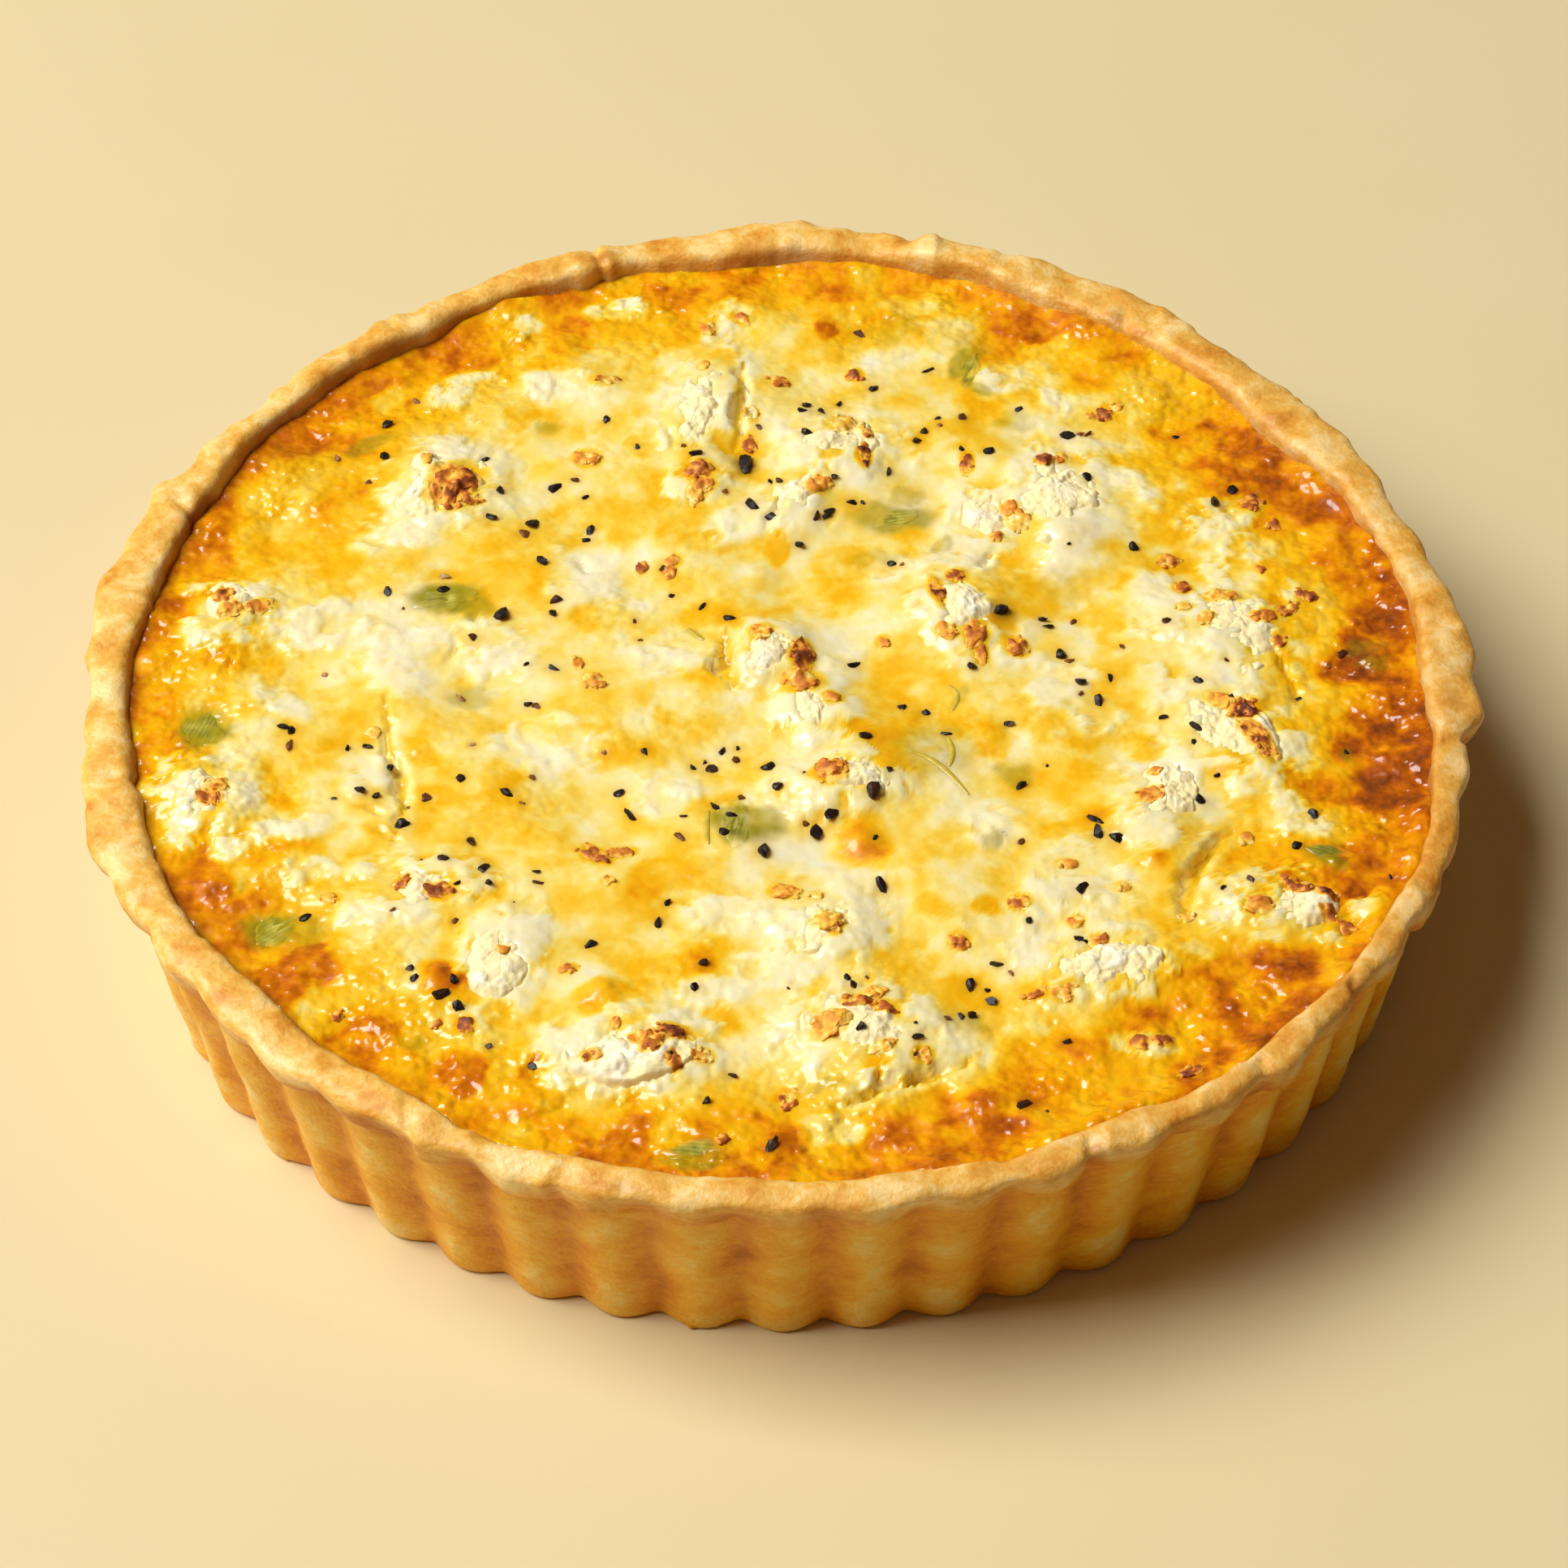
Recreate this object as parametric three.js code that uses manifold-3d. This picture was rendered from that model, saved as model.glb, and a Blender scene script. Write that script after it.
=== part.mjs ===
// A whole quiche, turned out of its tin: a fluted shortcrust case with a hand-rolled
// rim, a set egg custard, chunks of goat cheese, slices of leek and cracked pepper.
// Millimetres, +Z up. The origin is the centre of the underside.

import * as THREE from 'three';
import { mergeVertices } from 'three/addons/utils/BufferGeometryUtils.js';
import Module from 'manifold-3d';

// ---------------------------------------------------------------- driving sizes (mm)

const RIM_RADIUS = 110.4;        // outer edge of the rolled rim, on average
const HEIGHT = 40;               // table to the crest of the rim
const RIM_WIDTH = 7.6;           // outer edge of the rim to the filling
const BASE_RADIUS = 102.7;       // tips of the flutes on the table
const WALL_TOP_RADIUS = 107.4;   // tips of the flutes under the rim
const WALL_TOP = 32.5;           // height at which the rim starts to bulge
const FLUTES = 51;
const FLUTE_START = 270.1;       // angle of the middle of one flute (degrees)
const FLUTE_DEPTH = 2.2;         // tip to valley on the table
const FLUTE_FADE = 0.75;         // share of that depth left under the rim
const FLUTE_SOFTNESS = 0.22;     // rounding of the valleys, as a share of a flute
const BASE_THICKNESS = 4.6;      // pastry under the custard
const FLOOR_RADIUS = 96.4;       // corner between the case's floor and its inner wall
const FOOT_ROUND = 1.0;          // rounded lower edge of the case

const FILL_LEVEL = 36.2;         // custard against the case
const CUSTARD_CROWN = 0.7;       // how much higher it stands in the middle
const MOUND = 1.0;               // and over a piece of cheese
const MOUND_SKIRT = 3;           // how far that mound runs out beyond the piece
const SURFACE_WAVES = [          // its soft swells: height, and lengths along X and Y
	{ rise: 0.30, x: 5.1, y: 9.3, phase: 1.0 },
	{ rise: 0.28, x: 8.7, y: - 4.9, phase: 2.2 },
	{ rise: 0.22, x: 3.7, y: 4.3, phase: 0 },
	{ rise: 0.25, x: - 13, y: 6.1, phase: 0.6 },
];
const EDGE_DIP = 0.2;            // how much lower it is where it meets the case
const GAP = 0.3;                 // clearance between touching solids
const POCKET_GAP = 0.4;          // clearance round what is set into the custard
const POCKET_REACH = 4;          // how far a cutting solid stands above the custard

const CHUNK_DEPTH = 3.2;         // how deep a piece of cheese sits in the custard
const CHUNK_FOOT = 0.8;          // its outline down there, as a share of its full size
const CHUNK_WAIST = 0.96;        // and at the surface
const CHUNK_RINGS = [            // above it: outline, share of the height, roughness
	{ scale: 0.84, rise: 0.52, rough: 0.24 },
	{ scale: 0.46, rise: 0.9, rough: 0.42 },
];
const LEEK_THICKNESS = 1.0;
const LEEK_PROUD = 0.45;         // how far the upper face of a slice stands out
const GRAIN_SIZES = [1.5, 2.5];  // smallest and largest grain of cracked pepper
const GRAINS = 130;
const FUSED_GRAINS = 40;         // the largest ones, which are part of the custard
const GRAIN_REACH = 86;          // pepper lies inside this radius
const GRAIN_SHAPE = [ 1.15, 0.9, 0.85 ];  // length, width and height against its size
const GRAIN_MARGIN = 0.9;        // least distance to cheese and leek
const CRACK_MARGIN = 0.6;        // and to a crack

const WALL_COLUMNS = FLUTES * 6;
const INNER_COLUMNS = FLUTES * 3;
const CUSTARD_FACET = 7.5;       // side of a facet of the custard's top

// Dough that laps over itself on the rim. The step is at `at` (degrees), and its
// thickness runs out over `run` degrees, to the side that the sign of `run` gives.
const RIM_LAPS = [
	{ at: - 5.5, run: 7, out: 2.2, up: 0.4, inward: 0.8 },
	{ at: 36.5, run: - 7, out: 1.3, up: 0.4, inward: 0.6 },
	{ at: 75.5, run: - 7, out: 0.9, up: 1.1, inward: 0.4 },
	{ at: 106.5, run: 5, out: 0.7, up: 0.9, inward: 0.9 },
	{ at: 128, run: 6, out: 0.8, up: 0.3, inward: 0.2 },
	{ at: 157.5, run: 7, out: 2.7, up: 0.3, inward: - 0.6 },
	{ at: 169, run: 9, out: 2.3, up: 0.4, inward: 0.4 },
	{ at: 196, run: 5, out: 0.9, up: 0.3, inward: 0.7 },
	{ at: 211, run: 6, out: 0.7, up: 0.3, inward: 0.5 },
	{ at: 241, run: - 6, out: 0.6, up: 0.2, inward: 0.5 },
	{ at: 312, run: 6, out: 0.7, up: 0.3, inward: 0.4 },
];

// Broad swells: the rim goes outwards by `out` and is wider by `wide`, and the fluted
// wall stands out by `wall`.
const RIM_SWELLS = [
	{ at: 16, spread: 9, out: - 0.6, wide: 0.4, wall: 0 },
	{ at: 38, spread: 13, out: - 1.0, wide: 2.4, wall: 0 },
	{ at: 56, spread: 8, out: 1.7, wide: 1.2, wall: 0.6 },
	{ at: 88, spread: 7, out: 1.9, wide: 0.2, wall: 0.8 },
	{ at: 118, spread: 12, out: - 0.8, wide: 0, wall: 0 },
	{ at: 141, spread: 8, out: - 1.3, wide: - 0.3, wall: - 0.3 },
	{ at: 202, spread: 12, out: 1.5, wide: - 0.9, wall: 0.6 },
	{ at: 216, spread: 11, out: 0, wide: 0, wall: 1.5 },
	{ at: 257, spread: 22, out: - 0.6, wide: - 0.8, wall: 0 },
	{ at: 287, spread: 6, out: 0, wide: - 1.4, wall: 0 },
	{ at: 300, spread: 14, out: 0.6, wide: - 0.3, wall: 0 },
	{ at: 323, spread: 24, out: 0.7, wide: - 3.8, wall: 1.4 },
];

// Goat cheese: middle (x, y), half length and half width, turn of the length from +X
// (degrees) and height above the custard.
const CHEESE = [
	{ x: - 56, y: 45, long: 9, wide: 6.5, turn: 60, high: 3.3 },
	{ x: - 1.5, y: 3.5, long: 5.2, wide: 4.4, turn: 110, high: 3 },
	{ x: 5.5, y: - 8.5, long: 5.6, wide: 4.2, turn: - 60, high: 2.8 },
	{ x: 46.5, y: 40, long: 10, wide: 6.3, turn: 80, high: 3.3 },
	{ x: 34, y: 36, long: 5.4, wide: 4.4, turn: 100, high: 2.3 },
	{ x: - 12.5, y: 64, long: 10, wide: 4.2, turn: 80, high: 3.4 },
	{ x: - 13, y: 47, long: 4.6, wide: 3.6, turn: 30, high: 2.5 },
	{ x: 10, y: 54, long: 8.2, wide: 4.8, turn: 10, high: 2.5 },
	{ x: 3.5, y: 41, long: 5, wide: 4, turn: 70, high: 2.5 },
	{ x: 30, y: 14, long: 9.2, wide: 4.8, turn: - 70, high: 2.5 },
	{ x: 73, y: 9, long: 9.6, wide: 6.8, turn: 85, high: 2 },
	{ x: 71, y: - 14, long: 9.6, wide: 6.2, turn: - 60, high: 3.3 },
	{ x: 60, y: - 28, long: 7.6, wide: 4.4, turn: 80, high: 2.5 },
	{ x: 49, y: - 62, long: 7.8, wide: 4.8, turn: 10, high: 2.5 },
	{ x: 77, y: - 50, long: 7.4, wide: 4.6, turn: 0, high: 2.3 },
	{ x: 12, y: - 74.5, long: 8, wide: 5.8, turn: - 10, high: 3 },
	{ x: 10, y: - 24.5, long: 6.8, wide: 4.4, turn: 5, high: 2.8 },
	{ x: - 22, y: - 79, long: 9, wide: 5.2, turn: 8, high: 3 },
	{ x: - 42, y: - 60, long: 7.6, wide: 4.4, turn: 80, high: 2 },
	{ x: - 55, y: - 45.5, long: 6.6, wide: 4.6, turn: 5, high: 2.2 },
	{ x: - 90, y: - 26.5, long: 6, wide: 5, turn: 110, high: 2.5 },
	{ x: - 89, y: 15, long: 6, wide: 4.4, turn: - 70, high: 2.5 },
	{ x: 7, y: - 55, long: 6, wide: 4.4, turn: 20, high: 1.9 },
];

// Slices of leek: middle, half length and half width, turn of the length and how
// much the slice curls.
const LEEK = [
	{ x: - 54, y: 18, long: 6, wide: 3.8, turn: 10, curl: 0.7 },
	{ x: - 91, y: - 11.5, long: 5.6, wide: 4, turn: 75, curl: 0.5 },
	{ x: - 76, y: - 52.5, long: 5.4, wide: 3.8, turn: 35, curl: 0.8 },
	{ x: - 7, y: - 33, long: 6, wide: 3.8, turn: 80, curl: 0.6 },
	{ x: 19.5, y: 36.5, long: 5.4, wide: 2.4, turn: 10, curl: 0.5 },
	{ x: 33, y: 74, long: 5.2, wide: 2.4, turn: 65, curl: 0.7 },
	{ x: - 12.5, y: - 96.5, long: 5.2, wide: 2.2, turn: - 8, curl: 0.4 },
	{ x: 84.5, y: - 39, long: 4.2, wide: 1.8, turn: - 25, curl: 0.4 },
];

// Cracks in the custard: width at the surface, depth, and the points along each.
const CRACKS = [
	{ wide: 1.6, deep: 2.2, points: [[ - 63, - 4 ], [ - 61.5, - 15 ], [ - 59, - 22 ], [ - 58.5, - 31 ], [ - 60.5, - 38 ]] },
	{ wide: 2.2, deep: 2.8, points: [[ 71, - 33 ], [ 64.5, - 41 ], [ 62.5, - 48 ], [ 60.5, - 55 ]] },
	{ wide: 2.4, deep: 2.6, points: [[ - 6, 75 ], [ - 6.6, 66 ], [ - 7, 58 ], [ - 7.6, 53 ]] },
	{ wide: 1.6, deep: 1.8, points: [[ 7, - 89 ], [ 16.6, - 85 ], [ 26.5, - 81.5 ], [ 29.5, - 78.5 ]] },
	{ wide: 1.6, deep: 2.2, points: [[ - 8.6, 10 ], [ - 8.4, 2 ], [ - 6, - 3.5 ]] },
];

// Where the pepper fell thickest: middle and how far it scattered.
const PEPPER_DRIFTS = [
	{ x: - 32, y: 39, spread: 7 }, { x: 8, y: 36, spread: 7 }, { x: 4, y: 63, spread: 6 },
	{ x: - 9, y: - 17, spread: 7 }, { x: - 64, y: - 25, spread: 6 }, { x: - 45, y: - 43, spread: 6 },
	{ x: 50, y: - 34, spread: 5 }, { x: 29, y: - 69, spread: 6 }, { x: - 51, y: - 67, spread: 5 },
	{ x: 3, y: - 35, spread: 7 }, { x: 28, y: 58, spread: 8 }, { x: 46, y: 8, spread: 7 },
	{ x: 69, y: - 48, spread: 6 }, { x: 19, y: - 80, spread: 5 }, { x: - 42, y: 12, spread: 8 },
	{ x: - 24, y: - 29, spread: 9 }, { x: 22, y: - 8, spread: 8 }, { x: 52, y: 58, spread: 6 },
];
const DRIFT_SHARE = 0.62;        // share of the grains that lie in a drift

const COLOURS = {
	pastry: 0xdca55f,
	custard: 0xf6cf52,
	cheese: 0xfdf6e2,
	leek: 0x9da04a,
};

// ---------------------------------------------------------------- small helpers

const wasm = await Module();
wasm.setup();

const radians = THREE.MathUtils.degToRad;
const mix = THREE.MathUtils.lerp;

// Park-Miller generator: the same seed gives the same numbers everywhere.
function randomFrom( seed ) {

	let state = seed;
	return () => ( state = state * 16807 % 2147483647 ) / 2147483647;

}

function turnFrom( degrees, centre ) {

	return ( ( degrees - centre ) % 360 + 540 ) % 360 - 180;

}

function bell( value, spread ) {

	return Math.exp( - ( ( value / spread ) ** 2 ) );

}

// Closed surface from rings stacked along a profile, each { z, points } anticlockwise
// seen from above, between a first and a last point. Rings may differ in count.
function closedStack( first, rings, last ) {

	const positions = [ first, ...rings.flat(), last ].flat();
	const faces = [];
	let start = 1;

	const bottom = rings[ 0 ].length;
	for ( let j = 0; j < bottom; j ++ ) faces.push( 0, start + ( j + 1 ) % bottom, start + j );

	for ( let k = 0; k + 1 < rings.length; k ++ ) {

		const a = rings[ k ].length;
		const b = rings[ k + 1 ].length;
		const above = start + a;
		let i = 0;
		let j = 0;
		while ( i < a || j < b ) {

			if ( j === b || ( i < a && ( i + 1 ) * b <= ( j + 1 ) * a ) ) {

				faces.push( start + i % a, start + ( i + 1 ) % a, above + j % b );
				i ++;

			} else {

				faces.push( start + i % a, above + ( j + 1 ) % b, above + j % b );
				j ++;

			}

		}

		start = above;

	}

	const top = rings[ rings.length - 1 ].length;
	for ( let i = 0; i < top; i ++ ) faces.push( start + i, start + ( i + 1 ) % top, start + top );
	return closedGeometry( positions, faces );

}

function closedGeometry( positions, faces ) {

	const geometry = new THREE.BufferGeometry();
	geometry.setAttribute( 'position', new THREE.Float32BufferAttribute( positions, 3 ) );
	geometry.setIndex( faces );
	return geometry;

}

function ringOf( count, pointAt ) {

	return Array.from( { length: count }, ( _, i ) => pointAt( 360 * i / count ) );

}

function polar( degrees, radius, z ) {

	return [ radius * Math.cos( radians( degrees ) ), radius * Math.sin( radians( degrees ) ), z ];

}

// The same surface with one vertex for each place.
function welded( geometry ) {

	const bare = geometry.clone();
	bare.deleteAttribute( 'normal' );
	bare.deleteAttribute( 'uv' );
	return mergeVertices( bare, 1e-4 );

}

function toSolid( geometry ) {

	const merged = welded( geometry );
	return new wasm.Manifold( new wasm.Mesh( {
		numProp: 3,
		vertProperties: new Float32Array( merged.attributes.position.array ),
		triVerts: new Uint32Array( merged.index.array ),
	} ) );

}

function toGeometry( solid ) {

	const mesh = solid.getMesh();
	return closedGeometry( Array.from( mesh.vertProperties ), Array.from( mesh.triVerts ) );

}

// ---------------------------------------------------------------- form of the pastry

// 1 at the step of a lap, falling steeply on one side and slowly on the other.
function lapHeight( degrees, lap ) {

	const along = turnFrom( degrees, lap.at ) / lap.run;
	return along < 0 ? bell( along, 0.22 ) : Math.exp( - along ) * ( along < 6 );

}

function sumOfLaps( degrees, key ) {

	return RIM_LAPS.reduce( ( sum, lap ) => sum + lap[ key ] * lapHeight( degrees, lap ), 0 );

}

function sumOfSwells( degrees, key ) {

	return RIM_SWELLS.reduce( ( sum, swell ) =>
		sum + swell[ key ] * bell( turnFrom( degrees, swell.at ), swell.spread ), 0 );

}

function rimOuter( degrees ) {

	const waves = 0.35 * Math.sin( radians( 13 * degrees + 40 ) ) + 0.25 * Math.sin( radians( 29 * degrees + 10 ) );
	return RIM_RADIUS + waves + sumOfLaps( degrees, 'out' ) + sumOfSwells( degrees, 'out' );

}

function rimCrest( degrees ) {

	const waves = 0.3 * Math.sin( radians( 5 * degrees + 70 ) ) + 0.25 * Math.sin( radians( 17 * degrees ) );
	return HEIGHT - 0.4 + waves + sumOfLaps( degrees, 'up' );

}

function rimInner( degrees ) {

	const waves = 0.4 * Math.sin( radians( 11 * degrees + 120 ) ) + 0.35 * Math.sin( radians( 23 * degrees + 60 ) );
	return RIM_RADIUS - RIM_WIDTH - waves - sumOfLaps( degrees, 'inward' ) - sumOfSwells( degrees, 'wide' );

}

// Round-backed flutes with a narrow valley between them: 0 at a tip, 1 in a valley.
function fluteDip( degrees ) {

	const swing = Math.cos( radians( FLUTES * turnFrom( degrees, FLUTE_START ) / 2 ) );
	const soft = Math.hypot( swing, FLUTE_SOFTNESS );
	const full = Math.hypot( 1, FLUTE_SOFTNESS );
	return ( full - soft ) / ( full - FLUTE_SOFTNESS );

}

function wallPoint( degrees, z ) {

	const up = z / WALL_TOP;
	const radius = mix( BASE_RADIUS, WALL_TOP_RADIUS, up ) + sumOfSwells( degrees, 'wall' );
	const depth = FLUTE_DEPTH * mix( 1, FLUTE_FADE, up );
	return polar( degrees, radius - depth * fluteDip( degrees ), z );

}

// The rim from under its bulge over the crest: `share` is how much of the way it has
// gone from the outer edge (0) to the filling (1), `drop` is mm below the crest, and
// `flute` is how much of the fluting still shows.
const RIM_PROFILE = [
	{ share: 0.15, drop: 6.2, flute: 0.55, columns: WALL_COLUMNS },
	{ share: 0, drop: 3.9, flute: 0.18, columns: WALL_COLUMNS },
	{ share: 0.16, drop: 1.1, flute: 0.05, columns: WALL_COLUMNS },
	{ share: 0.46, drop: 0, flute: 0, columns: INNER_COLUMNS },
	{ share: 0.78, drop: 0.9, flute: 0, columns: INNER_COLUMNS },
];

function rimPoint( degrees, station ) {

	const radius = mix( rimOuter( degrees ), rimInner( degrees ), station.share );
	const dip = FLUTE_DEPTH * station.flute * fluteDip( degrees );
	return polar( degrees, radius - dip, rimCrest( degrees ) - station.drop );

}

// Radius of the inside of the case at height z.
function innerRadius( degrees, z ) {

	const up = ( z - BASE_THICKNESS ) / ( FILL_LEVEL + GAP - BASE_THICKNESS );
	return mix( FLOOR_RADIUS, rimInner( degrees ), up );

}

function pastryCase() {

	const foot = ( degrees ) => {

		const [ x, y ] = wallPoint( degrees, 0 );
		const pull = 1 - FOOT_ROUND / Math.hypot( x, y );
		return [ x * pull, y * pull, 0 ];

	};
	const rings = [
		ringOf( WALL_COLUMNS, foot ),
		ringOf( WALL_COLUMNS, ( degrees ) => wallPoint( degrees, FOOT_ROUND ) ),
		ringOf( WALL_COLUMNS, ( degrees ) => wallPoint( degrees, WALL_TOP ) ),
		...RIM_PROFILE.map( ( station ) => ringOf( station.columns, ( degrees ) => rimPoint( degrees, station ) ) ),
		ringOf( INNER_COLUMNS, ( degrees ) => polar( degrees, rimInner( degrees ), FILL_LEVEL + GAP ) ),
		ringOf( INNER_COLUMNS, ( degrees ) => polar( degrees, FLOOR_RADIUS, BASE_THICKNESS ) ),
	];
	return closedStack( [ 0, 0, 0 ], rings, [ 0, 0, BASE_THICKNESS ] );

}

// ---------------------------------------------------------------- form of the custard

// Height of the custard before cracks: a low crown, soft swells, and mounds over the
// cheese that pushes up from below.
function custardTop( x, y ) {

	const radius = Math.hypot( x, y );
	const crown = CUSTARD_CROWN * ( 1 - ( radius / RIM_RADIUS ) ** 2 );
	const swells = SURFACE_WAVES.reduce( ( sum, wave ) =>
		sum + wave.rise * Math.sin( x / wave.x + y / wave.y + wave.phase ), 0 );
	const mounds = CHEESE.map( ( chunk ) => bell( Math.hypot( x - chunk.x, y - chunk.y ), chunk.long + MOUND_SKIRT ) );
	return FILL_LEVEL + crown + swells * bell( radius, 160 ) + MOUND * Math.max( ...mounds );

}

function custardBody() {

	const floor = BASE_THICKNESS + GAP;
	const column = 360 / INNER_COLUMNS;
	const edge = ( degrees, z ) => {

		const nearby = [ degrees - column, degrees, degrees + column ].map( ( around ) => innerRadius( around, z ) );
		return polar( degrees, Math.min( ...nearby ) - GAP, z );

	};
	const rings = [
		ringOf( INNER_COLUMNS, ( degrees ) => edge( degrees, floor ) ),
		ringOf( INNER_COLUMNS, ( degrees ) => edge( degrees, FILL_LEVEL - EDGE_DIP ) ),
	];
	const steps = Math.round( ( RIM_RADIUS - RIM_WIDTH ) / CUSTARD_FACET );
	for ( let k = 1; k < steps; k ++ ) {

		const share = 1 - ( k - 0.25 ) / steps;
		const count = Math.max( 6, Math.round( 2 * Math.PI * share * RIM_RADIUS / CUSTARD_FACET ) );
		rings.push( ringOf( count, ( degrees ) => {

			const radius = share * rimInner( degrees );
			const [ x, y ] = polar( degrees, radius, 0 );
			return [ x, y, custardTop( x, y ) ];

		} ) );

	}

	return closedStack( [ 0, 0, floor ], rings, [ 0, 0, custardTop( 0, 0 ) ] );

}

// ---------------------------------------------------------------- cheese

// Crumbly outline of a chunk, `grow` mm outside the cheese itself.
function chunkRing( chunk, index, count, scale, z, grow, rough ) {

	const random = randomFrom( 900 + index * 37 + Math.round( scale * 100 ) );
	return ringOf( count, ( degrees ) => {

		const lobes = 1 + 0.11 * Math.sin( radians( 2 * degrees + 70 * index ) )
			+ 0.08 * Math.sin( radians( 3 * degrees + 40 * index ) );
		const wobble = scale * lobes * ( 1 + rough * ( random() - 0.5 ) );
		const local = new THREE.Vector2(
			( chunk.long * wobble + grow ) * Math.cos( radians( degrees ) ),
			( chunk.wide * wobble + grow ) * Math.sin( radians( degrees ) ) );
		local.rotateAround( new THREE.Vector2(), radians( chunk.turn ) );
		return [ chunk.x + local.x, chunk.y + local.y, z + 2 * rough * ( random() - 0.5 ) ];

	} );

}

// Corners of a chunk's outline: a large one has more.
function chunkColumns( chunk ) {

	return chunk.long > 7 ? 11 : 9;

}

function cheeseChunk( chunk, index ) {

	const surface = custardTop( chunk.x, chunk.y );
	const count = chunkColumns( chunk );
	const ring = ( scale, z, rough ) => chunkRing( chunk, index, count, scale, surface + z, 0, rough );
	return closedStack( [ chunk.x, chunk.y, surface - CHUNK_DEPTH ], [
		ring( CHUNK_FOOT, - CHUNK_DEPTH, 0 ),
		ring( CHUNK_WAIST, 0, 0 ),
		...CHUNK_RINGS.map( ( { scale, rise, rough } ) => ring( scale, rise * chunk.high, rough ) ),
	], [ chunk.x, chunk.y, surface + chunk.high ] );

}

// The hollow in the custard round a chunk: one cone from under it to clear of the top.
function cheesePocket( chunk, index ) {

	const surface = custardTop( chunk.x, chunk.y );
	const bottom = surface - CHUNK_DEPTH - GAP;
	const above = surface + POCKET_REACH;
	const flare = ( CHUNK_WAIST - CHUNK_FOOT ) / CHUNK_DEPTH;
	const count = chunkColumns( chunk );
	const ring = ( scale, z ) => chunkRing( chunk, index, count, scale, z, POCKET_GAP, 0 );
	return closedStack( [ chunk.x, chunk.y, bottom ], [
		ring( CHUNK_FOOT, bottom ),
		ring( CHUNK_WAIST + POCKET_REACH * flare, above ),
	], [ chunk.x, chunk.y, above ] );

}

// ---------------------------------------------------------------- leek

// A thin wavy slice between two faces that are split alike. `grow` widens it all
// round, and `under` and `over` are its faces above the custard.
function leekSheet( slice, grow, under, over ) {

	const [ along, across ] = [ 5, 2 ];
	const positions = [];
	const faces = [];
	const direction = radians( slice.turn );
	for ( const lift of [ under, over ] ) {

		for ( let i = 0; i <= along; i ++ ) {

			for ( let j = 0; j <= across; j ++ ) {

				const u = 2 * i / along - 1;
				const v = 2 * j / across - 1;
				const taper = 1 - 0.35 * u * u + 0.1 * Math.sin( 4 * u + slice.x );
				const p = ( slice.long + grow ) * u;
				const q = ( slice.wide * taper + grow ) * v + 0.8 * Math.sin( 2.2 * u );
				const x = slice.x + p * Math.cos( direction ) - q * Math.sin( direction );
				const y = slice.y + p * Math.sin( direction ) + q * Math.cos( direction );
				const wave = slice.curl * ( 0.6 * Math.sin( 3.1 * u + slice.y ) + 0.5 * v * v );
				positions.push( x, y, custardTop( slice.x, slice.y ) + wave + lift );

			}

		}

	}

	const row = across + 1;
	const layer = row * ( along + 1 );
	const quad = ( a, b, c, d ) => faces.push( a, b, c, a, c, d );
	for ( let i = 0; i < along; i ++ ) {

		for ( let j = 0; j < across; j ++ ) {

			const a = i * row + j;
			faces.push( a, a + row + 1, a + row, a, a + 1, a + row + 1 );
			faces.push( layer + a, layer + a + row, layer + a + row + 1, layer + a, layer + a + row + 1, layer + a + 1 );

		}

		const [ near, far ] = [ i * row, i * row + across ];
		quad( near, near + row, layer + near + row, layer + near );
		quad( far + row, far, layer + far, layer + far + row );

	}

	for ( let j = 0; j < across; j ++ ) {

		const end = along * row + j;
		quad( j + 1, j, layer + j, layer + j + 1 );
		quad( end, end + 1, layer + end + 1, layer + end );

	}

	return closedGeometry( positions, faces );

}

function leekSlice( slice ) {

	return leekSheet( slice, 0, LEEK_PROUD - LEEK_THICKNESS, LEEK_PROUD );

}

function leekPocket( slice ) {

	return leekSheet( slice, POCKET_GAP, LEEK_PROUD - LEEK_THICKNESS - POCKET_GAP, POCKET_REACH );

}

// ---------------------------------------------------------------- cracks and pepper

// A V-shaped wedge that follows a crack and runs out to nothing at both ends.
function crackWedge( crack ) {

	const curve = new THREE.CatmullRomCurve3( crack.points.map( ( [ x, y ] ) => new THREE.Vector3( x, y, 0 ) ) );
	const steps = 8;
	const over = 2.5;  // the wedge stands this far above the custard
	const positions = [];
	const faces = [];
	for ( let i = 0; i <= steps; i ++ ) {

		const share = i / steps;
		const point = curve.getPoint( share );
		const side = curve.getTangent( share ).cross( new THREE.Vector3( 0, 0, 1 ) ).normalize();
		const open = 0.12 + 0.88 * Math.sin( Math.PI * share );
		const surface = custardTop( point.x, point.y );
		const half = crack.wide / 2 * open * ( 1 + over / crack.deep );
		for ( const [ across, z ] of [[ - half, over ], [ half, over ], [ 0, - crack.deep * open ]] ) {

			positions.push( point.x + side.x * across, point.y + side.y * across, surface + z );

		}

	}

	for ( let i = 0; i < steps; i ++ ) {

		for ( let k = 0; k < 3; k ++ ) {

			const a = 3 * i + k;
			const b = 3 * i + ( k + 1 ) % 3;
			faces.push( a, b, b + 3, a, b + 3, a + 3 );

		}

	}

	const last = 3 * steps;
	faces.push( 0, 2, 1, last, last + 1, last + 2 );
	return closedGeometry( positions, faces );

}

// True where a spot is at least `margin` mm away from every piece of cheese and leek.
function isClear( x, y, margin ) {

	return [ ...CHEESE, ...LEEK ].every( ( piece ) => {

		const offset = new THREE.Vector2( x - piece.x, y - piece.y );
		offset.rotateAround( new THREE.Vector2(), - radians( piece.turn ) );
		return Math.hypot( offset.x / ( piece.long * 1.15 + margin ), offset.y / ( piece.wide * 1.15 + margin ) ) > 1;

	} );

}

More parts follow.
